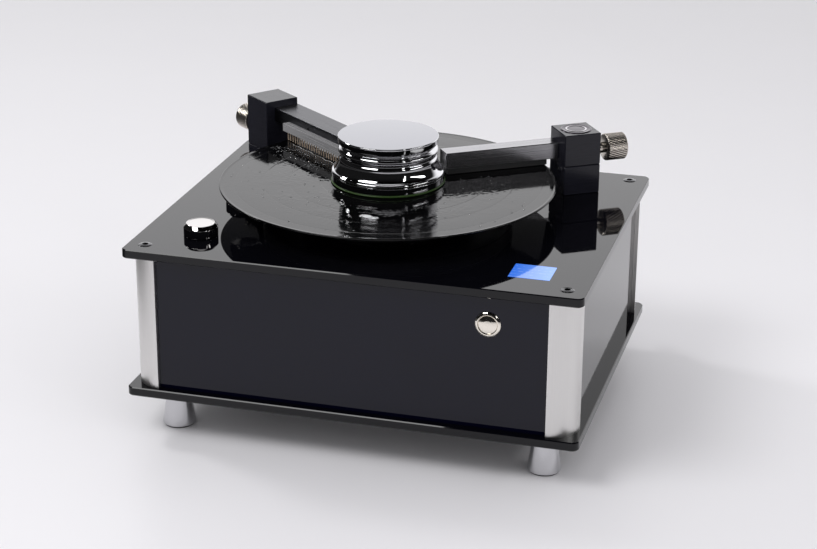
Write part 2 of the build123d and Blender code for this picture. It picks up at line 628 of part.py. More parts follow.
for k in range(brush_drips):
    drip_at = holder_inner + (k + 0.5) * (holder_outer - holder_inner) / brush_drips
    beam -= rod_y(drip_at, brush_axis_y, brush_axis_z, brush_drip_r, drip_y - brush_axis_y)
    fall_h = brush_axis_z - brush_beam_z + brush_drip_r / 2
    beam -= rod(drip_at, drip_y, brush_beam_z, brush_drip_r, fall_h)
    brush_holder -= rod(drip_at, drip_y, holder_z, brush_drip_r, holder_h)
save("brush_beam", at_brush * beam)
save("brush_holder", at_brush * brush_holder)
tip_z = record_top + gap
bristle_section = make_face(Polyline(
    (slot_far, holder_z + slot_h),
    (slot_far, holder_z),
    (slot_far - bristle_splay_far, tip_z),
    (slot_near + bristle_splay_near, tip_z),
    (slot_near, holder_z),
    (slot_near, holder_z + slot_h),
    close=True,
))
bristles = extrude(Plane.YZ.offset(bristle_from) * bristle_section, bristle_to - bristle_from)
save("brush_bristles", at_brush * bristles)

at_suction = arm_frame(suction_angle)
suction_post = at_suction * Pos(suction_post_at, 0, 0)
suction_face = suction_post_at - face
suction_axis_y = (suction_beam_near + suction_beam_far) / 2
suction_axis_z = suction_beam_z + suction_beam_h / 2
duct_w = suction_beam_far - suction_beam_near - 2 * suction_wall
duct_h = suction_beam_h - 2 * suction_wall
stop_spot = Pos(-face, stop_y, stop_z)
suction_base = base_block(suction_base_h)
suction_base -= stop_spot * rod_x(0, 0, 0, stop_shank_r + fit, stop_shank_l)
save("suction_base", suction_post * suction_base)
stop_screw = rod_x(-stop_up, 0, 0, stop_r, stop_up)
stop_screw -= rod_x(-stop_up, 0, 0, stop_socket_r, stop_up / 2)
stop_screw += rod_x(0, 0, 0, stop_shank_r, stop_shank_l)
save("suction_block_screw", suction_post * stop_spot * stop_screw)
suction_pivot = pivot(suction_base_h, pivot_top, air_bore_r)
air_port = Pos(0, suction_axis_y - duct_w / 2 + air_port_r, 0) * rod_x(
    -pivot_r, 0, suction_axis_z, air_port_r, pivot_r
)
save("suction_pivot", suction_post * (suction_pivot - air_port))
suction_head = swivel_block(suction_base_h + gap, suction_thumb_z)
tenon_size = (2 * tenon_l, duct_w + suction_wall, duct_h + suction_wall)
suction_head -= Pos(-face, suction_axis_y, suction_axis_z) * Box(*tenon_size)
suction_head -= Pos(-pivot_r / 2, 0, 0) * air_port
suction_head -= rod(0, 0, block_h - head_cap_sunk, head_cap_r + fit, head_cap_sunk)
save("suction_head", suction_post * suction_head)
head_cap = Cylinder(head_cap_r, head_cap_sunk + head_cap_dome, align=BASE)
head_cap = fillet(head_cap.edges().sort_by(Axis.Z)[-1], head_cap_edge)
save("suction_head_cap", suction_post * Pos(0, 0, block_h - head_cap_sunk) * head_cap)
suction_lock = Pos(face, 0, suction_thumb_z) * thumb_screw(suction_thumb_neck, shank_from)
save("suction_thumb_screw", suction_post * suction_lock)

suction_limits = (suction_inner, suction_face, suction_beam_near, suction_beam_far)
tube = chamfer(
    block(*suction_limits, suction_beam_z, suction_beam_z + suction_beam_h).edges(), block_edge
)
tube += Pos(suction_face, suction_axis_y, suction_axis_z) * Box(*tenon_size)
duct_l = suction_face + tenon_l - suction_inner - suction_wall
duct_at = suction_inner + suction_wall + duct_l / 2
tube -= Pos(duct_at, suction_axis_y, suction_axis_z) * Box(duct_l, duct_w, duct_h)
slot_half = suction_slot_w / 2
tube -= block(
    suction_slot_in, suction_slot_out, suction_axis_y - slot_half, suction_axis_y + slot_half,
    suction_beam_z, suction_axis_z,
)
save("suction_tube", at_suction * tube)
lip_sides = (
    (suction_beam_near + lip_inset, suction_axis_y - lip_split),
    (suction_axis_y + lip_split, suction_beam_far - lip_inset),
)
lips = [block(lip_in, lip_out, y0, y1, tip_z, suction_beam_z) for y0, y1 in lip_sides]
save("suction_lips", group(at_suction * lip for lip in lips))

nut = hex_bar(nut_af, nut_t) - Cylinder(pivot_foot_r + fit, nut_t, align=BASE)
post_spots = ((brush_px, brush_py), (suction_px, suction_py))
save("pivot_nuts", group(Pos(x, y, z_ceiling - nut_t) * nut for x, y in post_spots))

# --- controls -----------------------------------------------------------------------------
knob = turned([
    (knob_shaft_r, 0),
    (knob_r - block_edge, 0),
    (knob_r, block_edge),
    (knob_r, knob_h - knob_bevel_h),
    (knob_r - knob_bevel_w, knob_h),
    (0, knob_h),
    (0, knob_bore_h),
    (knob_shaft_r, knob_bore_h),
])
knob += Pos(0, 0, -knob_shaft_l) * Cylinder(knob_shaft_r, knob_shaft_l + knob_bore_h, align=BASE)
save("control_knob", Pos(knob_x, knob_y, deck + knob_gap) * knob)
encoder = middle_block(0, 0, z_ceiling - encoder_h, encoder_w, encoder_w, encoder_h)
encoder += rod(0, 0, z_ceiling, encoder_bush_r, plate_t)
encoder -= rod(0, 0, deck + knob_gap - knob_shaft_l - gap, knob_shaft_r + fit, knob_shaft_l + gap)
save("encoder_body", Pos(knob_x, knob_y, 0) * encoder)

glass = Box(display_w, display_d, display_t, align=BASE)
glass = fillet(glass.edges().filter_by(Axis.Z), block_edge)
save("display_glass", Pos(display_x, display_y, deck - display_t + display_gap) * glass)
module = middle_block(display_x, display_y, z_ceiling - module_t, module_w, module_d, module_t)
module += middle_block(
    display_x, display_y, z_ceiling, display_w, display_d, plate_t - display_t + display_gap
)
save("display_module", module)

bezel = rod_y(0, -bezel_out, 0, bezel_r, bezel_out)
bezel = fillet(bezel.edges().group_by(Axis.Y)[0], bezel_edge)
bezel += rod_y(0, 0, 0, barrel_r, barrel_l)
bezel -= rod_y(0, -bezel_out, 0, cap_r + gap, bezel_out - gap)
bezel -= rod_y(0, -bezel_out, 0, barrel_r - 2 * gap, cap_well + bezel_out)
save("button_bezel", Pos(button_x, front_y, button_z) * bezel)
ring_nut = rod_y(0, 0, 0, ring_nut_r, ring_nut_t) - rod_y(0, 0, 0, barrel_r + fit, ring_nut_t)
save("button_nut", Pos(button_x, front_y + panel_t, button_z) * ring_nut)
cap = rod_y(0, -bezel_out - cap_out, 0, cap_r, cap_out + bezel_out - gap - cap_travel)
cap = fillet(cap.edges().group_by(Axis.Y)[0], cap_edge)
cap += rod_y(0, -bezel_out, 0, barrel_r - 3 * gap, bezel_out + cap_l)
save("button_cap", Pos(button_x, front_y, button_z) * cap)

# --- clean fluid: tank, filler, pump ------------------------------------------------------
neck = rod(0, 0, deck, neck_flange_r, neck_flange_t)
tank_top = z_floor + tank_h
neck_low = tank_top - tank_wall
neck += rod(0, 0, neck_low, neck_r, deck - neck_low)
neck -= rod(0, 0, neck_low, filler_plug_r + fit, deck - neck_low + neck_flange_t)
save("filler_neck", Pos(filler_x, filler_y, 0) * neck)
cap_base = deck + neck_flange_t
filler_cap = turned([
    (0, -filler_plug_l),
    (filler_plug_r, -filler_plug_l),
    (filler_plug_r, 0),
    (filler_cap_r, 0),
    (filler_cap_r, filler_cap_h - neck_flange_t - knob_bevel_h),
    (filler_cap_r - knob_bevel_w, filler_cap_h - neck_flange_t),
    (0, filler_cap_h - neck_flange_t),
])
save("filler_cap", Pos(filler_x, filler_y, cap_base) * filler_cap)


def vessel(x, y, width, depth, height):
    """Moulded tank with rounded upright edges, hollow inside."""
    outer = extrude(RectangleRounded(width, depth, tank_edge), height)
    inner = extrude(
        RectangleRounded(width - 2 * tank_wall, depth - 2 * tank_wall, tank_edge - tank_wall),
        height - 2 * tank_wall,
    )
    return Pos(x, y, z_floor) * (outer - Pos(0, 0, tank_wall) * inner)


def spout(x, y, z, bore):
    """Hose spout that runs along +Y from y."""
    return rod_y(x, y, z, bore + spout_wall, spout_l)


tank_back = tank_y + tank_d / 2
clean_tank = vessel(tank_x, tank_y, tank_w, tank_d, tank_h)
clean_tank -= rod(filler_x, filler_y, tank_top - tank_wall, neck_r, tank_wall)
clean_tank += spout(pump_x, tank_back, pump_z, fluid_duct_r)
clean_tank -= rod_y(pump_x, tank_back - tank_wall, pump_z, fluid_duct_r, tank_wall + spout_l)
save("clean_tank", clean_tank)

pump = rod_y(pump_x, pump_y, pump_z, pump_r, pump_l / 2)
pump += block(
    pump_x - pump_head / 2, pump_x + pump_head / 2, head_y, pump_y, z_floor, pump_z + pump_head / 2
)
pump_top = pump_z + pump_head / 2
outlet_y = (head_y + pump_y) / 2
pump += spout(pump_x, head_y - spout_l, pump_z, fluid_duct_r)
pump += rod(pump_x, outlet_y, pump_top, fluid_duct_r + spout_wall, spout_l)
pump -= rod_y(pump_x, head_y - spout_l, pump_z, fluid_duct_r, 2 * spout_l)
pump -= rod(pump_x, outlet_y, pump_z, fluid_duct_r, pump_head / 2 + spout_l)
save("fluid_pump", pump)

# --- waste: tank, turbine, drain ----------------------------------------------------------
waste_back = waste_y + waste_d / 2
air_out_z = z_floor + turbine_h + turbine_cap_h / 2
waste_tank = vessel(waste_x, waste_y, waste_w, waste_d, waste_h)
waste_ports = (
    (suction_px, air_in_z, air_bore_r),
    (air_out_x, air_out_z, air_bore_r),
    (drain_x, drain_z, drain_bore_r),
)
for x, z, bore in waste_ports:
    waste_tank += spout(x, waste_back, z, bore)
    waste_tank -= rod_y(x, waste_back - tank_wall, z, bore, tank_wall + spout_l)
save("waste_tank", waste_tank)

turbine = rod(turbine_x, turbine_y, z_floor, turbine_r, turbine_h)
turbine += rod(turbine_x, turbine_y, z_floor + turbine_h, turbine_cap_r, turbine_cap_h)
port_from = turbine_x + turbine_cap_r
turbine += rod_x(turbine_x, turbine_y, air_out_z, air_bore_r + spout_wall, turbine_cap_r + spout_l)
turbine += rod_y(turbine_x, turbine_y, exhaust_z, exhaust_r, rear_y - turbine_y)
turbine -= rod_x(port_from - spout_l, turbine_y, air_out_z, air_bore_r, 2 * spout_l)
exhaust_from = turbine_y + turbine_r - spout_l
exhaust_bore = exhaust_r - exhaust_wall
turbine -= rod_y(turbine_x, exhaust_from, exhaust_z, exhaust_bore, rear_y - exhaust_from)
save("suction_turbine", turbine)

drain = spout(0, -spout_l, 0, drain_bore_r)
body_end = panel_t + drain_flange_t + drain_body_out
drain += rod_y(0, 0, 0, drain_body_r, body_end)
drain += rod_y(0, body_end, 0, outlet_r, outlet_l)
drain += rod_y(0, panel_t, 0, drain_flange_r, drain_flange_t)
drain += rod(0, panel_t + drain_turn_y, 0, drain_turn_r, drain_turn_up)
drain -= rod_y(0, -spout_l, 0, drain_bore_r, spout_l + body_end + outlet_l)
save("drain_tap", Pos(drain_x, rear_y, drain_z) * drain)
lever = Pos(-lever_l / 2, 0, 0) * Box(lever_l, lever_w, lever_t, align=BASE)
lever = fillet(lever.edges().filter_by(Axis.Z).group_by(Axis.X)[0], lever_w / 3)
lever += Cylinder(lever_cap_r, lever_t, align=BASE)
lever_z = drain_z + drain_turn_up + gap
save("drain_lever", Pos(drain_x, rear_y + panel_t + drain_turn_y, lever_z) * lever)

# --- mains and electronics ----------------------------------------------------------------
inlet_out = rear_y + panel_t
inlet = Pos(0, -inlet_l / 2, 0) * Box(inlet_w, inlet_l, inlet_h)
inlet += Pos(0, inlet_flange_t / 2, 0) * Box(inlet_flange_w, inlet_flange_t, inlet_flange_h)
well_mid = inlet_flange_t - inlet_well_l / 2
inlet -= Pos(0, well_mid, 0) * Box(inlet_well_w, inlet_well_l, inlet_well_h)
for k, up in ((-1, -1), (0, 1), (1, -1)):
    pin = Box(blade_w, blade_l, blade_t)
    pin_mid = inlet_flange_t - inlet_well_l + blade_l / 2
    inlet += Pos(k * blade_step, pin_mid, up * blade_w) * pin
save("mains_inlet", Pos(inlet_x, inlet_out, inlet_z) * inlet)

supply = middle_block(supply_x, supply_y, z_floor, supply_w, supply_d, supply_h)
save("power_supply", chamfer(supply.edges(), block_edge))
board = middle_block(board_x, board_y, z_floor + board_up, board_w, board_d, board_t)
for sx, sy in CORNERS:
    px = board_x + sx * (board_w / 2 - standoff_in)
    py = board_y + sy * (board_d / 2 - standoff_in)
    board += rod(px, py, z_floor, standoff_r, board_up)
for k in (-1, 0, 1):
    board += middle_block(
        board_x + k * chip_step, board_y, z_floor + board_up + board_t, chip_w, chip_w, chip_h
    )
save("control_board", board)

# --- hoses --------------------------------------------------------------------------------
nipple_top = deck - pivot_drop - hose_grip
air_in = air_bore_r + nipple_wall
air_runs = (
    [
        (suction_px, suction_py, nipple_top),
        (suction_px, suction_py, air_in_z),
        (suction_px, waste_back + hose_grip, air_in_z),
    ],
    [
        (air_out_x, waste_back + hose_grip, air_out_z),
        (air_out_x, turbine_y, air_out_z),
        (port_from + hose_grip, turbine_y, air_out_z),
    ],
)
save("air_hoses", group(hose(run, air_in + air_hose_wall, air_in, air_bend) for run in air_runs))
fluid_in = fluid_duct_r + spout_wall
feed = hose(
    [
        (pump_x, outlet_y, pump_top + hose_grip),
        (pump_x, outlet_y, fluid_hose_z),
        (brush_px, brush_py, fluid_hose_z),
        (brush_px, brush_py, nipple_top),
    ],
    fluid_in + fluid_hose_wall, fluid_in, fluid_bend,
)
supply_from, supply_run = tank_back + hose_grip, head_y - tank_back - 2 * hose_grip
supply_hose = rod_y(pump_x, supply_from, pump_z, fluid_in + fluid_hose_wall, supply_run)
supply_hose -= rod_y(pump_x, supply_from, pump_z, fluid_in, supply_run)
drain_in = drain_bore_r + spout_wall
drain_run = rear_y - waste_back - 2 * hose_grip
drain_hose = rod_y(drain_x, waste_back + hose_grip, drain_z, drain_in + fluid_hose_wall, drain_run)
drain_hose -= rod_y(drain_x, waste_back + hose_grip, drain_z, drain_in, drain_run)
save("fluid_hoses", group([feed, supply_hose, drain_hose]))

# --- files --------------------------------------------------------------------------------
boxes = [shape.bounding_box() for shape in nodes.values()]
middle_x = (min(box.min.X for box in boxes) + max(box.max.X for box in boxes)) / 2
middle_y = (min(box.min.Y for box in boxes) + max(box.max.Y for box in boxes)) / 2
to_origin = Pos(-middle_x, -middle_y, 0)
for node, shape in nodes.items():
    placed = group(to_origin * solid for solid in shape.solids())
    placed.label = node
    export_step(placed, os.path.join("parts", node + ".step"))
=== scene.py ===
"""Record cleaning machine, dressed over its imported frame.

Metres, in the frame's own axes: +X to the right along the front edge, +Y back, +Z up.
"""
import json

import bmesh
import bpy
import numpy as np
from mathutils import Matrix, Vector


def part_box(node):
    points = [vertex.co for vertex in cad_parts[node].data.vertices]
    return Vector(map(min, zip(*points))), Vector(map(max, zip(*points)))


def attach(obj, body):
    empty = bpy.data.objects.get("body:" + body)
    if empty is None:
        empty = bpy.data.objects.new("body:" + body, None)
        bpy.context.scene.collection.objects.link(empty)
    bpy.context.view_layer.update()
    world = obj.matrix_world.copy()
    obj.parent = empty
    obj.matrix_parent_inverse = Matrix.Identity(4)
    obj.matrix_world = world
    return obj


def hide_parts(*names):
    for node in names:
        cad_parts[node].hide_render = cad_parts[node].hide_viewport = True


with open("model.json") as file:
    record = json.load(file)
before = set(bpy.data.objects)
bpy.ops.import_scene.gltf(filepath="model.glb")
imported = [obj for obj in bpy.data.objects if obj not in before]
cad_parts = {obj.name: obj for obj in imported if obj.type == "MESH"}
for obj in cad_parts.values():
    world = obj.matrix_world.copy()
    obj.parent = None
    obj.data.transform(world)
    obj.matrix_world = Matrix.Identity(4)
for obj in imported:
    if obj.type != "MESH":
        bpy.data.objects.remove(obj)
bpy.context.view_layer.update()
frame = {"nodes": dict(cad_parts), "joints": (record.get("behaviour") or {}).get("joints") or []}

# Camera. A long lens from the front, a little to the right and above, level with the case but
# for a slight lean; its aim is an angle about Z, one above the horizon, and the lean.
plate_low, plate_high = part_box("top_plate")
plates_middle = Vector(((plate_low.x + plate_high.x) / 2, (plate_low.y + plate_high.y) / 2, 0))
eye = plates_middle + Vector((0.4740, -1.6616, 0.7925))
heading, height_angle, lean = np.radians((15.608, 21.495, 0.358))
image_width, focal_pixels, film_width = 817, 2053.1, 36.0
backward = Vector((
    np.sin(heading) * np.cos(height_angle),
    -np.cos(heading) * np.cos(height_angle),
    np.sin(height_angle),
))
level_across = Vector((np.cos(heading), np.sin(heading), 0))
level_up = backward.cross(level_across)
across = np.cos(lean) * level_across + np.sin(lean) * level_up
upward = np.cos(lean) * level_up - np.sin(lean) * level_across
lens = bpy.data.cameras.new("camera")
lens.sensor_width = film_width
lens.lens = film_width * focal_pixels / image_width
camera = bpy.data.objects.new("camera", lens)
camera.matrix_world = Matrix.Translation(eye) @ Matrix((across, upward, backward)).transposed().to_4x4()
bpy.context.scene.collection.objects.link(camera)
bpy.context.scene.camera = camera
bpy.context.scene.view_settings.view_transform = "Standard"


# Studio. A wide sheet of pale paper as the floor, a room that is bright low down behind the machine
# and right overhead but dark elsewhere, a lamp at the left and three soft ones in front and right.
def round_sheet(name, radius, steps=96):
    """Flat fan: the rim lies at the radius and at equal angles, and every face meets the middle."""
    angle = np.linspace(0, 2 * np.pi, steps, endpoint=False)
    rim = np.stack((radius * np.cos(angle), radius * np.sin(angle), 0 * angle), -1)
    points = np.concatenate(([[0, 0, 0]], rim))
    edge = np.arange(steps)
    faces = np.stack((0 * edge, 1 + edge, 1 + (edge + 1) % steps), -1)
    sheet = bpy.data.meshes.new(name)
    sheet.from_pydata(points.tolist(), [], faces.tolist())
    piece = bpy.data.objects.new(name, sheet)
    bpy.context.scene.collection.objects.link(piece)
    return piece


def fill(node, inputs):
    """Puts values into a node's named or numbered inputs, and links those that are sockets."""
    for key, value in inputs.items():
        if isinstance(value, bpy.types.NodeSocket):
            node.id_data.links.new(value, node.inputs[key])
        else:
            node.inputs[key].default_value = value


def adder(tree):
    """Shortcut that adds a node with its inputs and settings to a tree, and gives its outputs."""
    def add(kind, inputs=None, **settings):
        node = tree.nodes.new("ShaderNode" + kind)
        for key, value in settings.items():
            setattr(node, key, value)
        fill(node, inputs or {})
        return node.outputs

    return add


def open_material(material):
    """A material's shader, and the shortcut that adds nodes to it."""
    return material.node_tree.nodes["Principled BSDF"], adder(material.node_tree)


def new_material(name):
    """A new material with its shader and its shortcut."""
    material = bpy.data.materials.new(name)
    material.use_nodes = True
    return material, *open_material(material)


def noise(add, place, scale, detail):
    """Soft noise from 0 to 1, of so many cells a metre."""
    return add("TexNoise", {"Vector": place, "Scale": scale, "Detail": detail})["Fac"]


def mixed(add, share, low, high):
    """Colour that goes from low to high with the share."""
    return add("Mix", {0: share, 6: low, 7: high}, data_type="RGBA")[2]


def ramp(add, value, first, last, start=0.0, end=1.0, kind="LINEAR"):
    """Number that goes from first to last, in a line, as the value goes from start to end."""
    inputs = {"Value": value, "From Min": start, "From Max": end, "To Min": first, "To Max": last}
    return add("MapRange", inputs, interpolation_type=kind)[0]


def soft_ramp(add, value, first, last, start, end):
    """The same, eased at both ends: the share t of the way becomes t^2 (3 - 2t)."""
    return ramp(add, value, first, last, start, end, "SMOOTHSTEP")


def result(add, operation, a, b=0.5):
    """Number that an operation, such as MULTIPLY, makes of one or two others."""
    return add("Math", {0: a, 1: b}, operation=operation)[0]


paper_tone, painted_reflection_dark = (0.80, 0.79, 0.815), (0.05, 0.05, 0.05)
paper, shader, add = new_material("backdrop_paper")
spot = add("TexCoord")["Object"]
fibre = noise(add, spot, 5.0, 3.0)
tone = mixed(add, fibre, paper_tone + (1,), tuple(c * 0.97 for c in paper_tone) + (1,))
# Painted light falloff: the paper's tone is scaled down with distance from a point in front of the machine.
# This stands in for the lamps' light falling off towards the sides and back.
from_front = add("VectorMath", {0: spot, 1: (0.55, -0.5, 0)}, operation="DISTANCE")["Value"]
painted_falloff = soft_ramp(add, from_front, 1.05, 0.88, 0.3, 2.4)
falloff_painted_tone = add("VectorMath", {0: tone, 3: painted_falloff}, operation="SCALE")[0]
# Painted reflection: only to reflected rays, the floor left of about x = -0.5 m turns dark. This stands in
# for a dark room at the left in reflections.
on_floor = add("SeparateXYZ", {"Vector": spot})
painted_dark_zone = ramp(add, on_floor["X"], 1.0, 0.0, -0.62, -0.46)
in_gloss = result(add, "MULTIPLY", painted_dark_zone, add("LightPath")["Is Glossy Ray"])
paper_seen = mixed(add, in_gloss, falloff_painted_tone, painted_reflection_dark + (1,))
fill(shader, {"Base Color": paper_seen, "Roughness": 0.38, "Specular IOR Level": 0.35})
floor_radius = 14.0
floor = round_sheet("floor", floor_radius)
floor.data.materials.append(paper)

# The room's light goes by the direction of a ray: Y says how far it points back, Z how far up.
room = bpy.data.worlds.new("room")
bpy.context.scene.world = room
room.use_nodes = True
add = adder(room.node_tree)
ray = add("LightPath")
seen = result(add, "MAXIMUM", ray["Is Camera Ray"], ray["Is Glossy Ray"])
seen_through = result(add, "MAXIMUM", seen, ray["Is Transmission Ray"])
towards = add("SeparateXYZ", {0: add("TexCoord")["Generated"]})
behind = soft_ramp(add, towards["Y"], 0.012, 1.53, 0.58, 0.82)
low_down = soft_ramp(add, towards["Z"], 1.0, 0.05, 0.45, 0.80)
backdrop = result(add, "MULTIPLY", behind, low_down)
overhead = soft_ramp(add, towards["Z"], 0.0, 1.3, 0.945, 0.985)
all_round = result(add, "MAXIMUM", backdrop, overhead)
fill_light, camera_level = 0.69, 0.88
gloss_level = add("Mix", {2: fill_light, 0: seen_through, 3: all_round})[0]
level = add("Mix", {3: camera_level, 0: ray["Is Camera Ray"], 2: gloss_level})[0]
fill(room.node_tree.nodes["Background"], {"Color": (0.96, 0.955, 0.97, 1), "Strength": level})


def soft_lamp(name, turn, rise, away, wide, high, watts):
    """Lamp at away metres, turn degrees round from -Y towards +X and rise degrees up; it looks at
    the middle of the case."""
    turn, rise = np.radians((turn, rise))
    aim = Vector((0, 0, 0.15))
    out = Vector((np.sin(turn) * np.cos(rise), -np.cos(turn) * np.cos(rise), np.sin(rise)))
    light = bpy.data.lights.new(name, "AREA")
    light.shape = "ELLIPSE"
    light.size, light.size_y = wide, high
    light.energy = watts
    lamp = bpy.data.objects.new(name, light)
    lamp.location = aim + away * out
    lamp.rotation_euler = (-out).to_track_quat("-Z", "Y").to_euler()
    bpy.context.scene.collection.objects.link(lamp)


soft_lamp("key_lamp", -108, 38, 2.3, 0.42, 0.42, 9.5)
soft_lamp("front_lamp", -40, 51, 2.2, 1.35, 0.72, 17)
soft_lamp("side_strip", 55, 34, 2.3, 0.14, 0.9, 2)
soft_lamp("side_panel", 87, 26, 2.2, 1.4, 0.20, 5)


# Plates. Two 8 mm sheets of polished black acrylic, sawn, edge-polished and drilled; the columns
# stand between them. The polish shows a few wipe marks and fine dust.
def bump(add, height, strength, distance, under=None):
    """Relief from a height, laid over another relief where one is given."""
    inputs = {"Height": height, "Strength": strength, "Distance": distance}
    return add("Bump", inputs if under is None else {**inputs, "Normal": under})[0]


def acrylic(name, tone, polish, ior=1.42):
    """Black sheet: colour varies by a soft noise, polish by wipe marks, and the face has a faint wave."""
    material, shader, add = new_material(name)
    spot = add("TexCoord")["Object"]
    cloud = noise(add, spot, 14.0, 4.0)
    colour = mixed(add, cloud, tone + (1,), tuple(c * 1.5 for c in tone) + (1,))
    wipe_frame = add("Mapping", {"Vector": spot, "Rotation": (0, 0, 0.6), "Scale": (3, 40, 3)})[0]
    wipes = noise(add, wipe_frame, 3.0, 5.0)
    rough = ramp(add, wipes, polish, polish * 2.2)
    swell = noise(add, spot, 9.0, 1.0)
    wave = bump(add, swell, 0.006, 0.01)
    fill(shader, {"Base Color": colour, "Roughness": rough, "Normal": wave, "IOR": ior})
    return material


def finish_node(material, *names):
    """Gives CAD nodes a material in every slot."""
    for name in names:
        mesh = frame["nodes"][name].data
        if not mesh.materials:
            mesh.materials.append(material)
        for k in range(len(mesh.materials)):
            mesh.materials[k] = material


sheet_black = acrylic("sheet_black", (0.0015, 0.0015, 0.0025), 0.018)
finish_node(sheet_black, "top_plate", "bottom_plate")

# Panels. 4 mm acrylic sheets slid into the columns' slots and held there by the two plates; the
# front one is tinted blue-black, the others are a plainer and shinier black.
front_black = acrylic("front_black", (0.0012, 0.0013, 0.0065), 0.03, ior=1.40)
side_black = acrylic("side_black", (0.004, 0.004, 0.005), 0.03, ior=1.83)
finish_node(front_black, "front_panel")
finish_node(side_black, "left_panel", "right_panel", "rear_panel")


# Columns. Extruded quarter rounds of silver anodised aluminium, sawn to length and tapped at both
# ends for the plates' screws; fine die lines run up them.
def grained(name, tone, polish, lines=(300, 300, 2), depth=0.0, contrast=0.9, metallic=1.0, turn=0.0,
            more=None):
    """Finish with a grain: a noise turned about Z and stretched by lines sets the tone and polish,
    and depth its relief; more holds the shader's other inputs."""
    material, shader, add = new_material(name)
    spot = add("TexCoord")["Object"]
    turned = add("Mapping", {"Vector": spot, "Rotation": (0, 0, -turn)})[0]
    stretched = add("Mapping", {"Vector": turned, "Scale": lines})[0]
    grain = noise(add, stretched, 3.0, 4.0)
    colour = mixed(add, grain, tuple(c * contrast for c in tone) + (1,), tone + (1,))
    rough = ramp(add, grain, polish * 0.7, polish * 1.3)
    relief = bump(add, grain, depth, 0.0005)
    fill(shader, {"Base Color": colour, "Roughness": rough, "Normal": relief, "Metallic": metallic})
    fill(shader, more or {})
    return material


silver_anodised = grained("silver_anodised", (0.80, 0.79, 0.775), 0.36, depth=0.10, contrast=0.94)
finish_node(silver_anodised, "corner_columns")

# Feet. Cones turned from aluminium bar and polished, each on a black rubber ring that is let
# into its underside; a bolt through the bottom plate holds it.
mm = 0.001
UPRIGHT = np.eye(3)


def softened(outline, edge, steps=4):
    """Rounds an outline's inner corners: each becomes the parabola (1-t)^2 A + 2t(1-t) P + t^2 C,
    where A and C lie the edge length (at most 45% of a side) along its sides."""
    points = np.asarray(outline, float)
    middle, before, after = points[1:-1], points[:-2], points[2:]
    back, ahead = before - middle, after - middle
    back_l = np.linalg.norm(back, axis=1, keepdims=True)
    ahead_l = np.linalg.norm(ahead, axis=1, keepdims=True)
    start = middle + back / back_l * np.minimum(edge, 0.45 * back_l)
    end = middle + ahead / ahead_l * np.minimum(edge, 0.45 * ahead_l)
    t = np.linspace(0, 1, steps)[None, :, None]
    arcs = (1 - t) ** 2 * start[:, None] + 2 * t * (1 - t) * middle[:, None] + t ** 2 * end[:, None]
    return np.concatenate((points[:1], arcs.reshape(-1, 2), points[-1:]))


def turned_points(outline, place, axes=UPRIGHT, steps=96):
    """Points turned about an axis: place + r cos(a) X + r sin(a) Y + h Z for each (r, h)."""
    angle = np.linspace(0, 2 * np.pi, steps, endpoint=False)
    r, h = np.asarray(outline, float).T
    ring = np.cos(angle)[:, None] * axes[0] + np.sin(angle)[:, None] * axes[1]
    return np.asarray(place, float) + r[:, None, None] * ring[None] + h[:, None, None] * axes[2]


def grid_piece(name, grids, material, body, sharp=40, marks=None):
    """Mesh of grids of points (rows, columns, 3) whose columns close on themselves, doubles merged,
    smooth but for edges sharper than the angle; marks, one a point, become the attribute "valley_shade"."""
    points, faces, offset = [], [], 0
    for grid in grids:
        rows, columns = grid.shape[:2]
        row, col = np.meshgrid(np.arange(rows - 1), np.arange(columns), indexing="ij")
        nxt = (col + 1) % columns
        quads = np.stack((row * columns + col, row * columns + nxt,
                          (row + 1) * columns + nxt, (row + 1) * columns + col), -1).reshape(-1, 4)
        points.append(grid.reshape(-1, 3))
        faces.append(quads + offset)
        offset += rows * columns
    mesh = bpy.data.meshes.new(name)
    mesh.from_pydata(np.concatenate(points).tolist(), [], np.concatenate(faces).tolist())
    if marks is not None:
        valley_shade = mesh.attributes.new("valley_shade", "FLOAT", "POINT")
        valley_shade.data.foreach_set("value", np.asarray(marks, np.float32))
    work = bmesh.new()
    work.from_mesh(mesh)
    bmesh.ops.remove_doubles(work, verts=work.verts, dist=1e-7)
    work.to_mesh(mesh)
    work.free()
    mesh.polygons.foreach_set("use_smooth", np.ones(len(mesh.polygons), bool))
    mesh.set_sharp_from_angle(angle=np.radians(sharp))
    mesh.materials.append(material)
    piece = bpy.data.objects.new(name, mesh)
    bpy.context.scene.collection.objects.link(piece)
    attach(piece, body)
    return piece


foot_x, foot_y = 165.5 * mm, 125.5 * mm
corners = [(sx, sy) for sx in (-1, 1) for sy in (-1, 1)]
foot_at = [(plates_middle.x + sx * foot_x, plates_middle.y + sy * foot_y, 0) for sx, sy in corners]
foot_outline = softened(np.array([
    (3.05, 2.5), (13.05, 2.5), (13.05, 1.5), (14.7, 1.6), (14.65, 3.0), (9.4, 36.4), (8.9, 37.0),
    (3.05, 37.0), (3.05, 2.5),
]) * mm, 0.5 * mm)
foot_metal = grained("foot_metal", (0.69, 0.69, 0.71), 0.05, lines=(2, 2, 500), depth=0.03, contrast=0.93)
cones = grid_piece("cone_feet", [turned_points(foot_outline, place) for place in foot_at],
                   foot_metal, "chassis")
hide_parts("feet")
rubber = grained("ring_rubber", (0.018, 0.018, 0.018), 0.75, lines=(90, 90, 90), depth=0.25,
                 contrast=0.7, metallic=0.0)
finish_node(rubber, "foot_pads", "drive_belt")

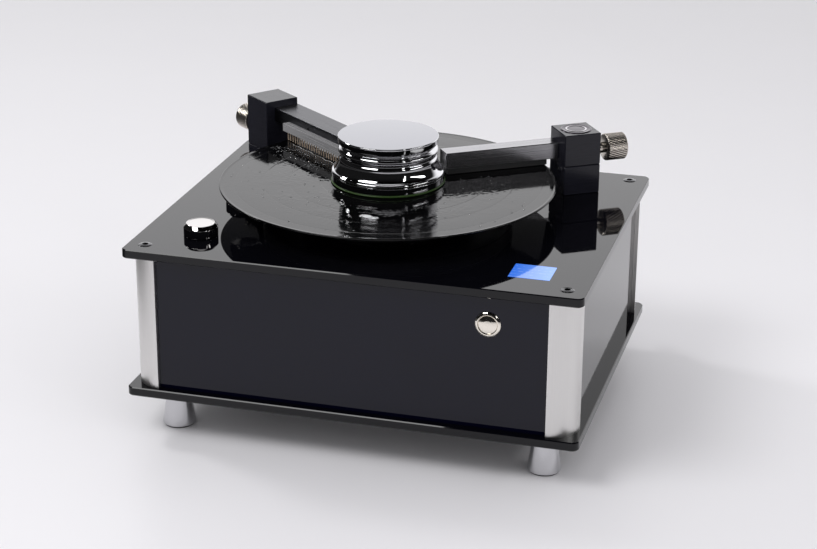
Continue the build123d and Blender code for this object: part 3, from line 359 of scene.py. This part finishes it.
# Plate screws. Black oxide button heads with a hexagon socket hold the plates to the columns;
# below they are countersunk, and zinc plated bolts hold the feet.
screw_black = grained("screw_black", (0.055, 0.055, 0.06), 0.22, lines=(150, 150, 150), depth=0.12,
                      contrast=0.7)
screw_zinc = grained("screw_zinc", (0.60, 0.60, 0.58), 0.28, lines=(200, 200, 200), depth=0.12,
                     contrast=0.85)
finish_node(screw_black, "base_screws")
screws_low, screws_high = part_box("top_plate_screws")
head_radius, head_rise = 6.0 * mm, 0.9 * mm
shank_radius, socket_radius, socket_depth = 2.95 * mm, 2.5 * mm, 1.4 * mm
screw_face = plate_high.z - screws_low.z
screw_outline = softened(np.array([
    (0.0, screw_face - socket_depth),
    (socket_radius, screw_face - socket_depth),
    (socket_radius, screw_face + 0.75 * head_rise),
    (0.45 * head_radius, screw_face + head_rise),
    (0.86 * head_radius, screw_face + 0.55 * head_rise),
    (head_radius, screw_face + 0.1 * head_rise),
    (head_radius, screw_face),
    (shank_radius, screw_face),
    (shank_radius, 0.0),
    (0.0, 0.0),
]), 0.2 * mm)
screw_dx = (screws_high.x - screws_low.x) / 2 - head_radius
screw_dy = (screws_high.y - screws_low.y) / 2 - head_radius
screw_mid = (screws_low + screws_high) / 2
screw_at = [(screw_mid.x + sx * screw_dx, screw_mid.y + sy * screw_dy, screws_low.z) for sx, sy in corners]
head_steel = grained("head_steel", (0.115, 0.115, 0.12), 0.20, lines=(150, 150, 150), depth=0.08,
                     contrast=0.8)
heads = grid_piece("low_screw_heads", [turned_points(screw_outline, place, steps=64) for place in screw_at],
                   head_steel, "chassis")
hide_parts("top_plate_screws")
finish_node(screw_zinc, "foot_bolts", "bearing_screws")

# Turntable drive. A turned steel bearing and ground shaft hang under the top plate; the pulleys are
# machined aluminium, and the motor is a pressed steel can, painted black.
ground_steel = grained("ground_steel", (0.62, 0.61, 0.60), 0.16, lines=(4, 4, 500), depth=0.08)
turned_aluminium = grained("turned_aluminium", (0.70, 0.70, 0.71), 0.26, lines=(6, 6, 380), depth=0.12)
motor_paint = grained("motor_paint", (0.05, 0.05, 0.055), 0.40, lines=(120, 120, 120), depth=0.10,
                      contrast=0.8, metallic=0.0)
finish_node(ground_steel, "bearing_housing", "spindle_shaft", "brush_pivot", "suction_pivot")
finish_node(turned_aluminium, "driven_pulley", "motor_pulley")
finish_node(motor_paint, "drive_motor")

# Platter. A disc turned from black acetal that the spindle shaft carries, with a mat of cork and
# rubber glued on it.
platter_black = grained("platter_black", (0.014, 0.014, 0.015), 0.30, lines=(5, 5, 300), depth=0.12,
                        contrast=0.8, metallic=0.0)
mat_black = grained("mat_black", (0.02, 0.02, 0.02), 0.8, lines=(260, 260, 260), depth=0.4,
                    contrast=0.6, metallic=0.0)
finish_node(platter_black, "platter")
finish_node(mat_black, "platter_mat")

# Record. A pressed vinyl disc: a raised rim, the grooved band, smooth gaps between the tracks and
# a raised paper label; the groove spiral is too fine to make, so rings of polish stand for it.
joints = {joint["name"]: joint for joint in frame["joints"]}
spindle = np.array(joints["turntable_spin"]["pos_m"])
record_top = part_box("record_disc")[1].z
brush_out = np.array(joints["brush_lock_turn"]["axis"])
brush_side = np.array([-brush_out[1], brush_out[0], 0])
brush_turn = np.arctan2(brush_out[1], brush_out[0])


def from_axis(add, spot, centre):
    """The place measured from a centre, and its distance from the upright axis through it."""
    centred = add("Mapping", {"Vector": spot, "Location": tuple(-np.asarray(centre))})[0]
    flat = add("VectorMath", {0: centred, 1: (1, 1, 0)}, operation="MULTIPLY")[0]
    return centred, add("VectorMath", {0: flat}, operation="LENGTH")["Value"]


def wet_vinyl(name):
    """Vinyl: rings by distance from the spindle roughen it. A film of water smooths it near the clamp
    and ripples it, but lies calm in the brush's wake."""
    material, shader, add = new_material(name)
    spot = add("TexCoord")["Object"]
    centred, away = from_axis(add, spot, (spindle[0], spindle[1], 0))
    ring_place = add("CombineXYZ", {"X": away})[0]
    rings = noise(add, ring_place, 1400.0, 3.0)
    track = noise(add, ring_place, 90.0, 1.0)
    colour = mixed(add, track, (0.001, 0.001, 0.0012, 1), (0.0024, 0.0024, 0.0027, 1))
    inward = soft_ramp(add, away, 1.0, 0.25, 0.085, 0.135)
    dry = ramp(add, rings, 0.03, 0.11)
    smoothed = ramp(add, inward, 1.0, 0.2, 0.25, 1.0)
    rough = result(add, "MULTIPLY", dry, smoothed)
    groove = bump(add, rings, 0.016, 0.0004)
    patches = noise(add, spot, 34.0, 3.0)
    pooled = soft_ramp(add, patches, 0.3, 1.0, 0.42, 0.58)
    wake = add("Mapping", {"Vector": centred, "Rotation": (0, 0, -brush_turn)})[0]
    along_wake, across_wake = add("SeparateXYZ", {"Vector": wake})[:2]
    off_wake = result(add, "ABSOLUTE", result(add, "SUBTRACT", across_wake, 10 * mm))
    beside_wake = soft_ramp(add, off_wake, 0.1, 1.0, 12 * mm, 19 * mm)
    before_wake = soft_ramp(add, along_wake, 1.0, 0.0, 30 * mm, 50 * mm)
    unswept = result(add, "MAXIMUM", beside_wake, before_wake)
    film = result(add, "MULTIPLY", pooled, inward)
    ripple = noise(add, spot, 300.0, 0.6)
    water = result(add, "MULTIPLY", ripple, film)
    swept = result(add, "MULTIPLY", water, unswept)
    wet = bump(add, swept, 0.20, 0.0006, groove)
    fill(shader, {"Base Color": colour, "Roughness": rough, "Normal": wet, "IOR": 1.40})
    return material


vinyl = wet_vinyl("wet_vinyl")
record_outline = softened(np.array([
    (3.65, -2.0), (150.0, -2.0), (150.5, -1.33), (150.5, -0.67), (150.0, 0.0), (147.5, -0.35),
    (137.5, -0.35), (137.2, -0.40), (136.8, -0.35), (112.0, -0.35), (111.7, -0.40), (111.3, -0.35),
    (88.0, -0.35), (87.7, -0.40), (87.3, -0.35), (61.0, -0.35), (60.0, -0.42), (53.0, -0.35),
    (51.5, 0.0), (3.65, 0.0), (3.65, -2.0),
]) * mm, 0.3 * mm)
record_at = (spindle[0], spindle[1], record_top)
disc = grid_piece("grooved_record", [turned_points(record_outline, record_at, steps=288)],
                  vinyl, "turntable", sharp=60)
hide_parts("record_disc")

# Water. Beads of washing fluid that the brush leaves on the record: caps of spheres, flattened,
# thickest beside the brush and sparse elsewhere.
dice = np.random.default_rng(12)
flatness = 0.42


def bead_points(centres, radii, rings=5, around=12):
    """Caps: a ring lies at radius R sin(q) and height R cos(q) times the flatness, for q from a right
    angle to zero; each cap is stretched one way by a factor and shrunk the other way by it."""
    q = np.linspace(np.pi / 2, 0, rings)
    a = np.linspace(0, 2 * np.pi, around, endpoint=False)
    stretch = dice.uniform(0.75, 1.35, len(radii))
    x = np.sin(q)[None, :, None] * np.cos(a)[None, None] * (radii * stretch)[:, None, None]
    y = np.sin(q)[None, :, None] * np.sin(a)[None, None] * (radii / stretch)[:, None, None]
    z = np.cos(q)[None, :, None] * (flatness * radii)[:, None, None] + 0 * x
    return centres[:, None, None] + np.stack((x, y, z), -1)


def fluid(name, tone, scale, calm, choppy, ior, clear=0.0):
    """Washing fluid: a soft noise takes its polish from calm to choppy."""
    material, shader, add = new_material(name)
    shimmer = noise(add, add("TexCoord")["Object"], scale, 1.0)
    fill(shader, {"Roughness": ramp(add, shimmer, calm, choppy), "Base Color": tone + (1,), "IOR": ior,
                  "Transmission Weight": clear})
    return material


groove_depth = 0.36 * mm
film_at = np.array([spindle[0], spindle[1], record_top - groove_depth])
wet_from, wet_to = 56 * mm, 144 * mm
beside_count, sparse_count = 110, 150
along = dice.uniform(58, 144, beside_count) * mm
off = (27 + dice.gamma(1.5, 5.0, beside_count)) * mm
near_brush = along[:, None] * brush_out + off[:, None] * brush_side
far = np.sqrt(dice.uniform(60 ** 2, 145 ** 2, sparse_count)) * mm
turn = dice.uniform(np.radians(150), np.radians(385), sparse_count)
scattered = np.stack((far * np.cos(turn), far * np.sin(turn), 0 * far), -1)
drops_at = np.concatenate((near_brush, scattered))
distance = np.linalg.norm(drops_at[:, :2], axis=1)
drops_at = drops_at[(distance < wet_to) & (distance > wet_from)]
drop_size = dice.uniform(0.30, 0.90, len(drops_at)) ** 1.4 * mm
washing_fluid = fluid("washing_fluid", (0.93, 0.95, 0.97), 300.0, 0.0, 0.04, 1.33, clear=0.9)
grid_piece("water_beads", list(bead_points(drops_at + film_at, drop_size)), washing_fluid,
           "turntable", sharp=80)

# Pool before the brush. A thin sheet of washing fluid that the bristles push together; its outer
# edge wanders by a few sines and its skin is drawn into low ripples. u runs along it, v across.
u, v = np.meshgrid(np.linspace(0, 1, 220), np.linspace(0, 1, 28), indexing="ij")
wander = 7.5 + 2.6 * np.sin(9.0 * u + 0.6) + 1.9 * np.sin(23.0 * u + 2.1) + 1.1 * np.sin(61.0 * u + 0.3)
taper = np.minimum(1, 7 * u) * np.minimum(1, 7 * (1 - u))
pool_s = (59 + 87 * u) * mm
pool_from = 13.6 + 0.5 * np.sin(31.0 * u) + 0.3 * np.sin(53.0 * u + 1.0)
pool_w = (pool_from + v * (1.2 + wander * taper)) * mm
skin = 0.030 * np.sin(pool_s / mm * 1.9 + 2.2 * np.sin(pool_w / mm * 0.9)) * np.sin(pool_w / mm * 1.4 + 0.5)
pool_h = (0.30 * (1 - (2 * v - 1) ** 8) * (1 - (2 * u - 1) ** 40) + skin * (1 - (2 * v - 1) ** 2)) * mm
pool_at = pool_s[..., None] * brush_out + pool_w[..., None] * brush_side
pool_at = pool_at + film_at + pool_h[..., None] * np.array([0, 0, 1])
pooled_fluid = fluid("pooled_fluid", (0.012, 0.012, 0.013), 120.0, 0.01, 0.06, 1.75)
grid_piece("fluid_pool", [pool_at], pooled_fluid, "turntable", sharp=80)


# Clamp. Turned from brass and chromed: a foot with a lip, a hollow waist, a bead and a ringed
# cap. Its top is lapped flat, and is painted a darker tone than the chrome as painted shade; a green
# ring seal under it keeps the label dry.
def overlaid(shader, add, share, colour):
    """Lays one more colour over a shader's base colour by a share from 0 to 1."""
    under = shader.inputs["Base Color"].links[0].from_socket
    fill(shader, {"Base Color": mixed(add, share, under, colour)})


def middle_of(node):
    """Middle of a node's box, on its underside."""
    low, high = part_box(node)
    return np.array([(low.x + high.x) / 2, (low.y + high.y) / 2, low.z])


chrome = grained("clamp_chrome", (0.60, 0.60, 0.62), 0.035, lines=(3, 3, 420), depth=0.02, contrast=0.97)
shader, add = open_material(chrome)
height = add("SeparateXYZ", {0: chrome.node_tree.nodes["Texture Coordinate"].outputs["Object"]})["Z"]
# Painted shade: above this height the flat top takes a darker tone than the chrome. This stands in for a
# dimmer reflection.
painted_dark_top = result(add, "GREATER_THAN", height, record_top + 42.55 * mm)
overlaid(shader, add, painted_dark_top, (0.335, 0.337, 0.362, 1))
clamp_outline = softened(np.array([
    (0.0, 18.0), (3.65, 18.0), (3.65, 2.0), (49.8, 2.0), (50.3, 2.5), (50.3, 8.1), (49.9, 8.6),
    (50.6, 9.3), (50.8, 10.2), (50.4, 11.2), (49.5, 11.9), (48.4, 12.2), (47.0, 13.9), (45.7, 16.3),
    (44.7, 18.7), (44.2, 20.6), (44.1, 22.1), (43.6, 23.4), (42.8, 24.4), (42.4, 25.4), (42.6, 26.6),
    (43.4, 27.8), (44.3, 28.8), (44.6, 29.8), (44.3, 31.0), (43.4, 32.1), (42.4, 32.7), (41.6, 33.5),
    (41.5, 34.4), (42.2, 35.5), (43.8, 36.2), (44.6, 37.0), (45.0, 41.9), (44.5, 42.7), (0.0, 42.7),
]) * mm, 0.8 * mm, steps=5)
clamp = grid_piece("turned_clamp", [turned_points(clamp_outline, record_at, steps=192)],
                   chrome, "clamp", sharp=50)
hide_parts("clamp_body")
seal_green = grained("seal_green", (0.035, 0.078, 0.014), 0.35, lines=(120, 120, 120), depth=0.2,
                     contrast=0.7, metallic=0.0)
seal_low, seal_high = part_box("clamp_seal")
seal_r, seal_h = (seal_high.x - seal_low.x) / 2, seal_high.z - seal_low.z
bore_r = seal_r - 6 * mm
seal_outline = softened(np.array([
    (bore_r, 0), (seal_r - 1.9 * mm, 0), (seal_r - 1.7 * mm, 0.45 * seal_h),
    (seal_r - 0.3 * mm, 0.52 * seal_h), (seal_r, 0.62 * seal_h), (seal_r, 0.85 * seal_h),
    (seal_r - 0.4 * mm, seal_h), (bore_r, seal_h), (bore_r, 0),
]), 0.2 * mm)
seal = grid_piece("lipped_seal", [turned_points(seal_outline, middle_of("clamp_seal"), steps=160)],
                  seal_green, "clamp")
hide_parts("clamp_seal")

# Arm posts and arms. Blocks and beams sawn from bar and anodised black. The posts are dyed deep,
# and the saw's fine lines run along the arms, whose edges are broken by hand so they shine a little.
suction_out = np.array(joints["suction_lock_turn"]["axis"])
suction_turn = np.arctan2(suction_out[1], suction_out[0])
post_black = grained("post_black", (0.017, 0.017, 0.025), 0.18, lines=(30, 30, 420), depth=0.12,
                     contrast=0.4, metallic=0.0, more={"IOR": 1.38})
finish_node(post_black, "brush_base", "brush_head", "suction_base", "suction_head")
brush_beam_black = grained("brush_beam_black", (0.085, 0.086, 0.097), 0.30, lines=(5, 420, 420),
                           depth=0.14, contrast=0.5, turn=brush_turn)
# Painted sheen: the suction beam is anodised black like the brush beam. Its tone is a pale grey that stands
# in for the light its faces reflect.
suction_beam_painted_sheen = grained("suction_beam_painted_sheen", (0.46, 0.455, 0.475), 0.24, lines=(5, 420, 420),
                             depth=0.14, contrast=0.5, turn=suction_turn)
finish_node(brush_beam_black, "brush_beam")
finish_node(suction_beam_painted_sheen, "suction_tube")
holder_steel = grained("holder_steel", (0.60, 0.595, 0.61), 0.26, lines=(6, 500, 500), depth=0.10,
                       contrast=0.8, metallic=0.55, turn=brush_turn)
finish_node(holder_steel, "brush_holder")
velvet = grained("lip_velvet", (0.008, 0.008, 0.009), 0.95, lines=(900, 900, 900), depth=0.6,
                 contrast=0.5, metallic=0.0, more={"Sheen Weight": 0.35})
finish_node(velvet, "suction_lips")

# Bristles. Fine brown nylon tufts set in one row of holes along the holder: each tuft is a round
# bundle of strands that spreads towards its tips, with a gap of air before the next.
bristle_from, bristle_to, tuft_count, strands_each = 59.0 * mm, 148.6 * mm, 23, 34
deck = joints["brush_arm_swing"]["pos_m"][2] - 20 * mm
root_z, tip_z = 39.6 * mm, 26.75 * mm
tuft_row, tip_row = 11.5 * mm, 11.0 * mm
tuft_wide, tuft_deep, spread, stray = 0.62 * mm, 0.42 * mm, 1.1, 0.12 * mm
rings, sides, strand_radius = 5, 4, 0.14 * mm
strand_count = tuft_count * strands_each
tuft_at = np.repeat(np.linspace(bristle_from, bristle_to, tuft_count), strands_each)
away = np.sqrt(dice.uniform(0, 1, strand_count))
round_it = dice.uniform(0, 2 * np.pi, strand_count)
out_x, out_y = away * np.cos(round_it), away * np.sin(round_it)
jitter = dice.uniform(-1, 1, (strand_count, 2))
root = np.stack((tuft_at + tuft_wide * out_x, tuft_row + tuft_deep * out_y), -1)
tip = np.stack((tuft_at + spread * tuft_wide * out_x + stray * jitter[:, 0],
                tip_row + spread * tuft_deep * out_y + stray * jitter[:, 1]), -1)
t = np.linspace(0, 1, rings)
bend = (t ** 1.6)[None, :, None]
centre = root[:, None] * (1 - bend) + tip[:, None] * bend
height = root_z + (tip_z - root_z) * t
ring = np.linspace(0, 2 * np.pi, sides, endpoint=False)
thick = strand_radius * (1 - 0.5 * t)
local_x = centre[:, :, None, 0] + thick[None, :, None] * np.cos(ring)
local_y = centre[:, :, None, 1] + thick[None, :, None] * np.sin(ring)
strands = np.stack((
    spindle[0] + local_x * brush_out[0] + local_y * brush_side[0],
    spindle[1] + local_x * brush_out[1] + local_y * brush_side[1],
    (deck + height)[None, :, None] + 0 * local_x,
), -1)[:, ::-1]
nylon = grained("bristle_nylon", (0.80, 0.65, 0.51), 0.42, lines=(500, 500, 40), depth=0.15,
                contrast=0.4, metallic=0.0)
tufts = grid_piece("bristle_tufts", list(strands), nylon, "brush_arm", sharp=80)
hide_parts("brush_bristles")

# Lock screws. Stainless thumb screws with a diagonal knurl rolled on the head, a polished collar
# and a smooth shank that reaches through the block to the pivot; the knurl's valleys are painted
# a dark brown as painted shade.
knurled_steel = grained("knurled_steel", (0.70, 0.65, 0.59), 0.24, lines=(90, 90, 90), depth=0.06,
                        contrast=0.9)
shader, add = open_material(knurled_steel)
# Painted shade: the knurl's valleys are darkened by this attribute. This stands in for the shade that falls
# in them.
overlaid(shader, add, add("Attribute", attribute_name="valley_shade")["Fac"], (0.24, 0.21, 0.18, 1))
knurl_radius, knurl_length, knurl_edge = 12.5 * mm, 19.4 * mm, 1.2 * mm
knurl_teeth, knurl_depth, knurl_turns = 30, 0.42 * mm, -1.7
block_face = 17.5 * mm


def knurled(rows=72, steps=288):
    """Knurled barrel as radius, height, angle and valley shade grids: the radius is lowered by the depth
    times one minus the ridge, the larger of |sin(n a + k h)| and 0.35 |sin(n a - k h)|, faded at both ends.
    The valley shade, largest deep in the valleys, is the share of painted shade."""
    h = np.linspace(0, knurl_length, rows)[:, None]
    a = np.linspace(0, 2 * np.pi, steps, endpoint=False)[None]
    lean = knurl_turns * 2 * np.pi * h / knurl_length
    along_lean, across_lean = knurl_teeth / 2 * a + lean, knurl_teeth / 2 * a - lean
    ridges = np.maximum(np.abs(np.sin(along_lean)), 0.35 * np.abs(np.sin(across_lean)))
    from_end = np.minimum(h, knurl_length - h) / knurl_edge
    fade = np.clip(from_end, 0, 1)
    r = knurl_radius - knurl_depth * (1 - ridges) * fade
    bevel = np.clip(1 - from_end, 0, 1) ** 2 * knurl_edge
    return r - bevel, h + 0 * a, a + 0 * h, (1 - ridges) ** 0.8 * fade


def thumb_screw(name, joint, node, neck, body):
    """A knurled head, a collar and a shank, laid along the joint's axis from the block's face; the
    head's ends close in rings that are shares of the way to its middle."""
    outward = np.array(joints[joint]["axis"])
    sideways = np.array([-outward[1], outward[0], 0])
    axes = np.stack((sideways, np.array([0, 0, 1.0]), outward))
    start = np.array(joints[joint]["pos_m"]) + outward * block_face
    shank = softened(np.array([
        (0, -9.2), (2.95, -9.2), (3.0, 0.3), (5.0, 0.3), (5.0, neck + 0.8), (0, neck + 0.8),
    ]) * mm, 0.3 * mm)
    r, h, a, valley_shade = knurled()
    head = (start + outward * (neck + 0.3) * mm + (r * np.cos(a))[..., None] * axes[0]
            + (r * np.sin(a))[..., None] * axes[1] + h[..., None] * axes[2])
    inner = start + outward * (neck + 0.3) * mm + 0 * head[:1]
    outer = start + outward * (neck + 19.7) * mm + 0 * head[:1]
    collar = inner + (head[:1] - inner) * 0.42
    rim = outer + (head[-1:] - outer) * 0.86
    dish = rim - outward * 0.5 * mm + (outer - rim) * 0.12
    centre = outer - outward * 0.5 * mm
    knob = np.concatenate((collar, head, rim, dish, centre))
    barrel = turned_points(shank, start, axes, steps=48)
    marks = np.zeros(knob.size // 3 + barrel.size // 3)
    marks[valley_shade.shape[1]:valley_shade.shape[1] + valley_shade.size] = valley_shade.ravel()
    piece = grid_piece(name, [knob, barrel], knurled_steel, body, sharp=50, marks=marks)
    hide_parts(node)


thumb_screw("knurled_brush_lock", "brush_lock_turn", "brush_thumb_screw", 12.4, "brush_lock")
thumb_screw("knurled_suction_lock", "suction_lock_turn", "suction_thumb_screw", 10.7, "suction_lock")

# Suction post trim. A dark polished bare cap with a raised bright ring is let into the block's top,
# and a small chromed socket screw on its inner face stops the arm above the record.
cap_centre = middle_of("suction_head_cap")
cap_centre[2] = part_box("suction_head_cap")[1].z
ring_radius = 9.0 * mm
polished_cap, shader, add = new_material("polished_cap")
spot = add("TexCoord")["Object"]
from_middle = from_axis(add, spot, cap_centre)[1]
off_ring = result(add, "ABSOLUTE", result(add, "SUBTRACT", from_middle, ring_radius))
on_ring = ramp(add, off_ring, 1.0, 0.0, 0.5 * mm, 0.8 * mm)
cloud = noise(add, spot, 160.0, 2.0)
dark_face = mixed(add, cloud, (0.050, 0.044, 0.055, 1), (0.085, 0.075, 0.088, 1))
tone = mixed(add, on_ring, dark_face, (0.52, 0.50, 0.52, 1))
fill(shader, {"Base Color": tone, "Roughness": ramp(add, cloud, 0.05, 0.10), "Metallic": 1.0})
trim_outline = softened(np.array([
    (0, -2.3), (14.5, -2.3), (14.5, -0.7), (13.6, 0), (12.0, -0.2), (10.2, -0.5), (9.4, -0.1),
    (8.6, -0.1), (7.8, -0.5), (4, -0.35), (0, -0.3),
]) * mm, 0.4 * mm)
post_cap = grid_piece("polished_post_cap", [turned_points(trim_outline, cap_centre)],
                      polished_cap, "suction_arm")
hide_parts("suction_head_cap")
small_chrome = grained("small_chrome", (0.84, 0.84, 0.86), 0.06, lines=(60, 60, 60), depth=0.03,
                       contrast=0.95)
finish_node(small_chrome, "suction_block_screw")

# Controls. A chromed menu knob with a smooth side, a wide bevel and a lapped top; the filler cap is
# the same turning. Each stands a hair over the plate.
lapped = grained("lapped_chrome", (0.60, 0.585, 0.575), 0.05, lines=(3, 3, 420), depth=0.03,
                 contrast=0.95)
knob_radius, bevel_high, bevel_wide = 15.0, 3.2, 2.6


def turned_knob(name, node, high, body):
    """A knob's side view, turned: a straight side, a wide bevel and a top that is dished a hair; it
    reaches as high as its node."""
    place = middle_of(node)
    place[2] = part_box(node)[1].z - high * mm
    top_radius = knob_radius - bevel_wide
    outline = softened(np.array([
        (0, 0), (knob_radius - 0.2, 0), (knob_radius, 0.2), (knob_radius, high - bevel_high),
        (top_radius, high), (top_radius - 0.7, high), (top_radius - 1.1, high - 0.25), (0, high - 0.18),
    ]) * mm, 0.3 * mm)
    piece = grid_piece(name, [turned_points(outline, place, steps=128)], lapped, body)
    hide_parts(node)


turned_knob("menu_knob_cap", "control_knob", 10.7, "menu_knob")
turned_knob("filler_stopper_cap", "filler_cap", 9.5, "filler_stopper")
finish_node(lapped, "filler_neck")
encoder_steel = grained("encoder_steel", (0.62, 0.62, 0.60), 0.30, lines=(180, 180, 180), depth=0.08)
finish_node(encoder_steel, "encoder_body")

# Push button. A vandal-proof switch: a sloped chrome bezel clamped by a ring nut, with a crowned
# stainless cap inside a narrow dark gap.
bezel_low, bezel_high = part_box("button_bezel")
panel_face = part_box("front_panel")[0].y
button_at = np.array([(bezel_low.x + bezel_high.x) / 2, panel_face, (bezel_low.z + bezel_high.z) / 2])
facing = np.array([[1.0, 0, 0], [0, 0, 1.0], [0, -1.0, 0]])
button_steel = grained("button_steel", (0.95, 0.90, 0.81), 0.07, lines=(40, 40, 40), depth=0.03,
                       contrast=0.95)
bezel_outline = softened(np.array([
    (7.4, -24.0), (8.0, -24.0), (8.0, 0.0), (11.1, 0.0), (11.0, 0.6), (10.2, 1.35), (9.3, 1.9),
    (8.5, 2.1), (8.4, 1.9), (8.4, -0.2), (7.4, -0.2), (7.4, -24.0),
]) * mm, 0.35 * mm, steps=5)
bezel = grid_piece("domed_button_bezel", [turned_points(bezel_outline, button_at, facing, steps=128)],
                   button_steel, "chassis")
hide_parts("button_bezel")
cap_outline = softened(np.array([
    (0.0, -1.6), (8.25, -1.6), (8.25, 1.2), (8.1, 1.5), (7.0, 2.05), (5.5, 2.6), (4.0, 3.0), (2.0, 3.3),
    (0.0, 3.4),
]) * mm, 0.3 * mm, steps=5)
cap = grid_piece("crowned_button_cap", [turned_points(cap_outline, button_at, facing, steps=128)],
                 button_steel, "power_button")
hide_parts("button_cap")
brass = grained("nut_brass", (0.70, 0.56, 0.28), 0.28, lines=(160, 160, 160), depth=0.10)
finish_node(brass, "button_nut", "pivot_nuts")

# Display. A backlit module behind a flush cover glass: a blue field that pales to one side, with
# generic rows of faint dashes where its own letters would be.
screen, shader, add = new_material("display_screen")
screen_low, screen_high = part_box("display_glass")
span = screen_high - screen_low
row_count = 5
spot = add("TexCoord")["Object"]
local = add("Mapping", {"Vector": spot, "Location": (-screen_low.x, -screen_low.y, 0)})[0]
split = add("SeparateXYZ", {"Vector": local})
fade = ramp(add, split["X"], 0.0, 1.0, 0.0, span.x)
field = mixed(add, fade, (0.030, 0.165, 0.80, 1), (0.22, 0.42, 1.0, 1))
row = result(add, "MULTIPLY", split["Y"], 2 * np.pi / (span.y / row_count))
rows_on = ramp(add, result(add, "SINE", row), 0.0, 1.0, 0.55, 0.7)
dots = noise(add, local, 420.0, 1.0)
dash = ramp(add, dots, 0.0, 0.14, 0.52, 0.60)
word = result(add, "MULTIPLY", rows_on, dash)
shown = mixed(add, word, field, (0.75, 0.86, 1.0, 1))
fill(shader, {"Emission Color": shown, "Emission Strength": 0.9, "Base Color": (0.01, 0.03, 0.10, 1),
              "Roughness": ramp(add, dots, 0.03, 0.07), "IOR": 1.62})
finish_node(screen, "display_glass")
module_plastic = grained("display_plastic", (0.03, 0.05, 0.11), 0.5, lines=(140, 140, 140), depth=0.12,
                         contrast=0.7, metallic=0.0)
finish_node(module_plastic, "display_module")

# Fluid and air parts. Blow-moulded polyethylene tanks, silicone and PVC hose, a diaphragm pump
# and a side channel turbine, all behind the panels.
tank_white = grained("tank_polyethylene", (0.74, 0.76, 0.73), 0.42, lines=(40, 40, 60), depth=0.10,
                     contrast=0.92, metallic=0.0, more={"Subsurface Weight": 0.15})
hose_clear = grained("hose_silicone", (0.66, 0.66, 0.62), 0.35, lines=(90, 90, 90), depth=0.08,
                     contrast=0.9, metallic=0.0)
hose_black = grained("hose_black", (0.022, 0.022, 0.023), 0.5, lines=(90, 90, 260), depth=0.15,
                     contrast=0.7, metallic=0.0)
pump_black = grained("pump_plastic", (0.035, 0.035, 0.038), 0.4, lines=(130, 130, 130), depth=0.10,
                     contrast=0.8, metallic=0.0)
finish_node(tank_white, "clean_tank", "waste_tank")
finish_node(hose_clear, "fluid_hoses")
finish_node(hose_black, "air_hoses")
finish_node(pump_black, "fluid_pump", "suction_turbine")

# Rear fittings. A nickel plated drain tap with its lever, and a moulded mains inlet whose three
# blades are plain metal; the mains parts inside are a folded cover and a lacquered board.
nickel = grained("tap_nickel", (0.72, 0.70, 0.66), 0.14, lines=(110, 110, 110), depth=0.05, contrast=0.93)
finish_node(nickel, "drain_tap", "drain_lever")
inlet_black = grained("inlet_moulding", (0.020, 0.020, 0.021), 0.38, lines=(220, 220, 220), depth=0.18,
                      contrast=0.7, metallic=0.0)
finish_node(inlet_black, "mains_inlet")
folded_cover = grained("folded_cover", (0.62, 0.63, 0.64), 0.34, lines=(3, 260, 3), depth=0.10)
finish_node(folded_cover, "power_supply")
board_lacquer = grained("board_lacquer", (0.015, 0.12, 0.045), 0.28, lines=(240, 240, 240), depth=0.14,
                        contrast=0.6, metallic=0.0)
finish_node(board_lacquer, "control_board")
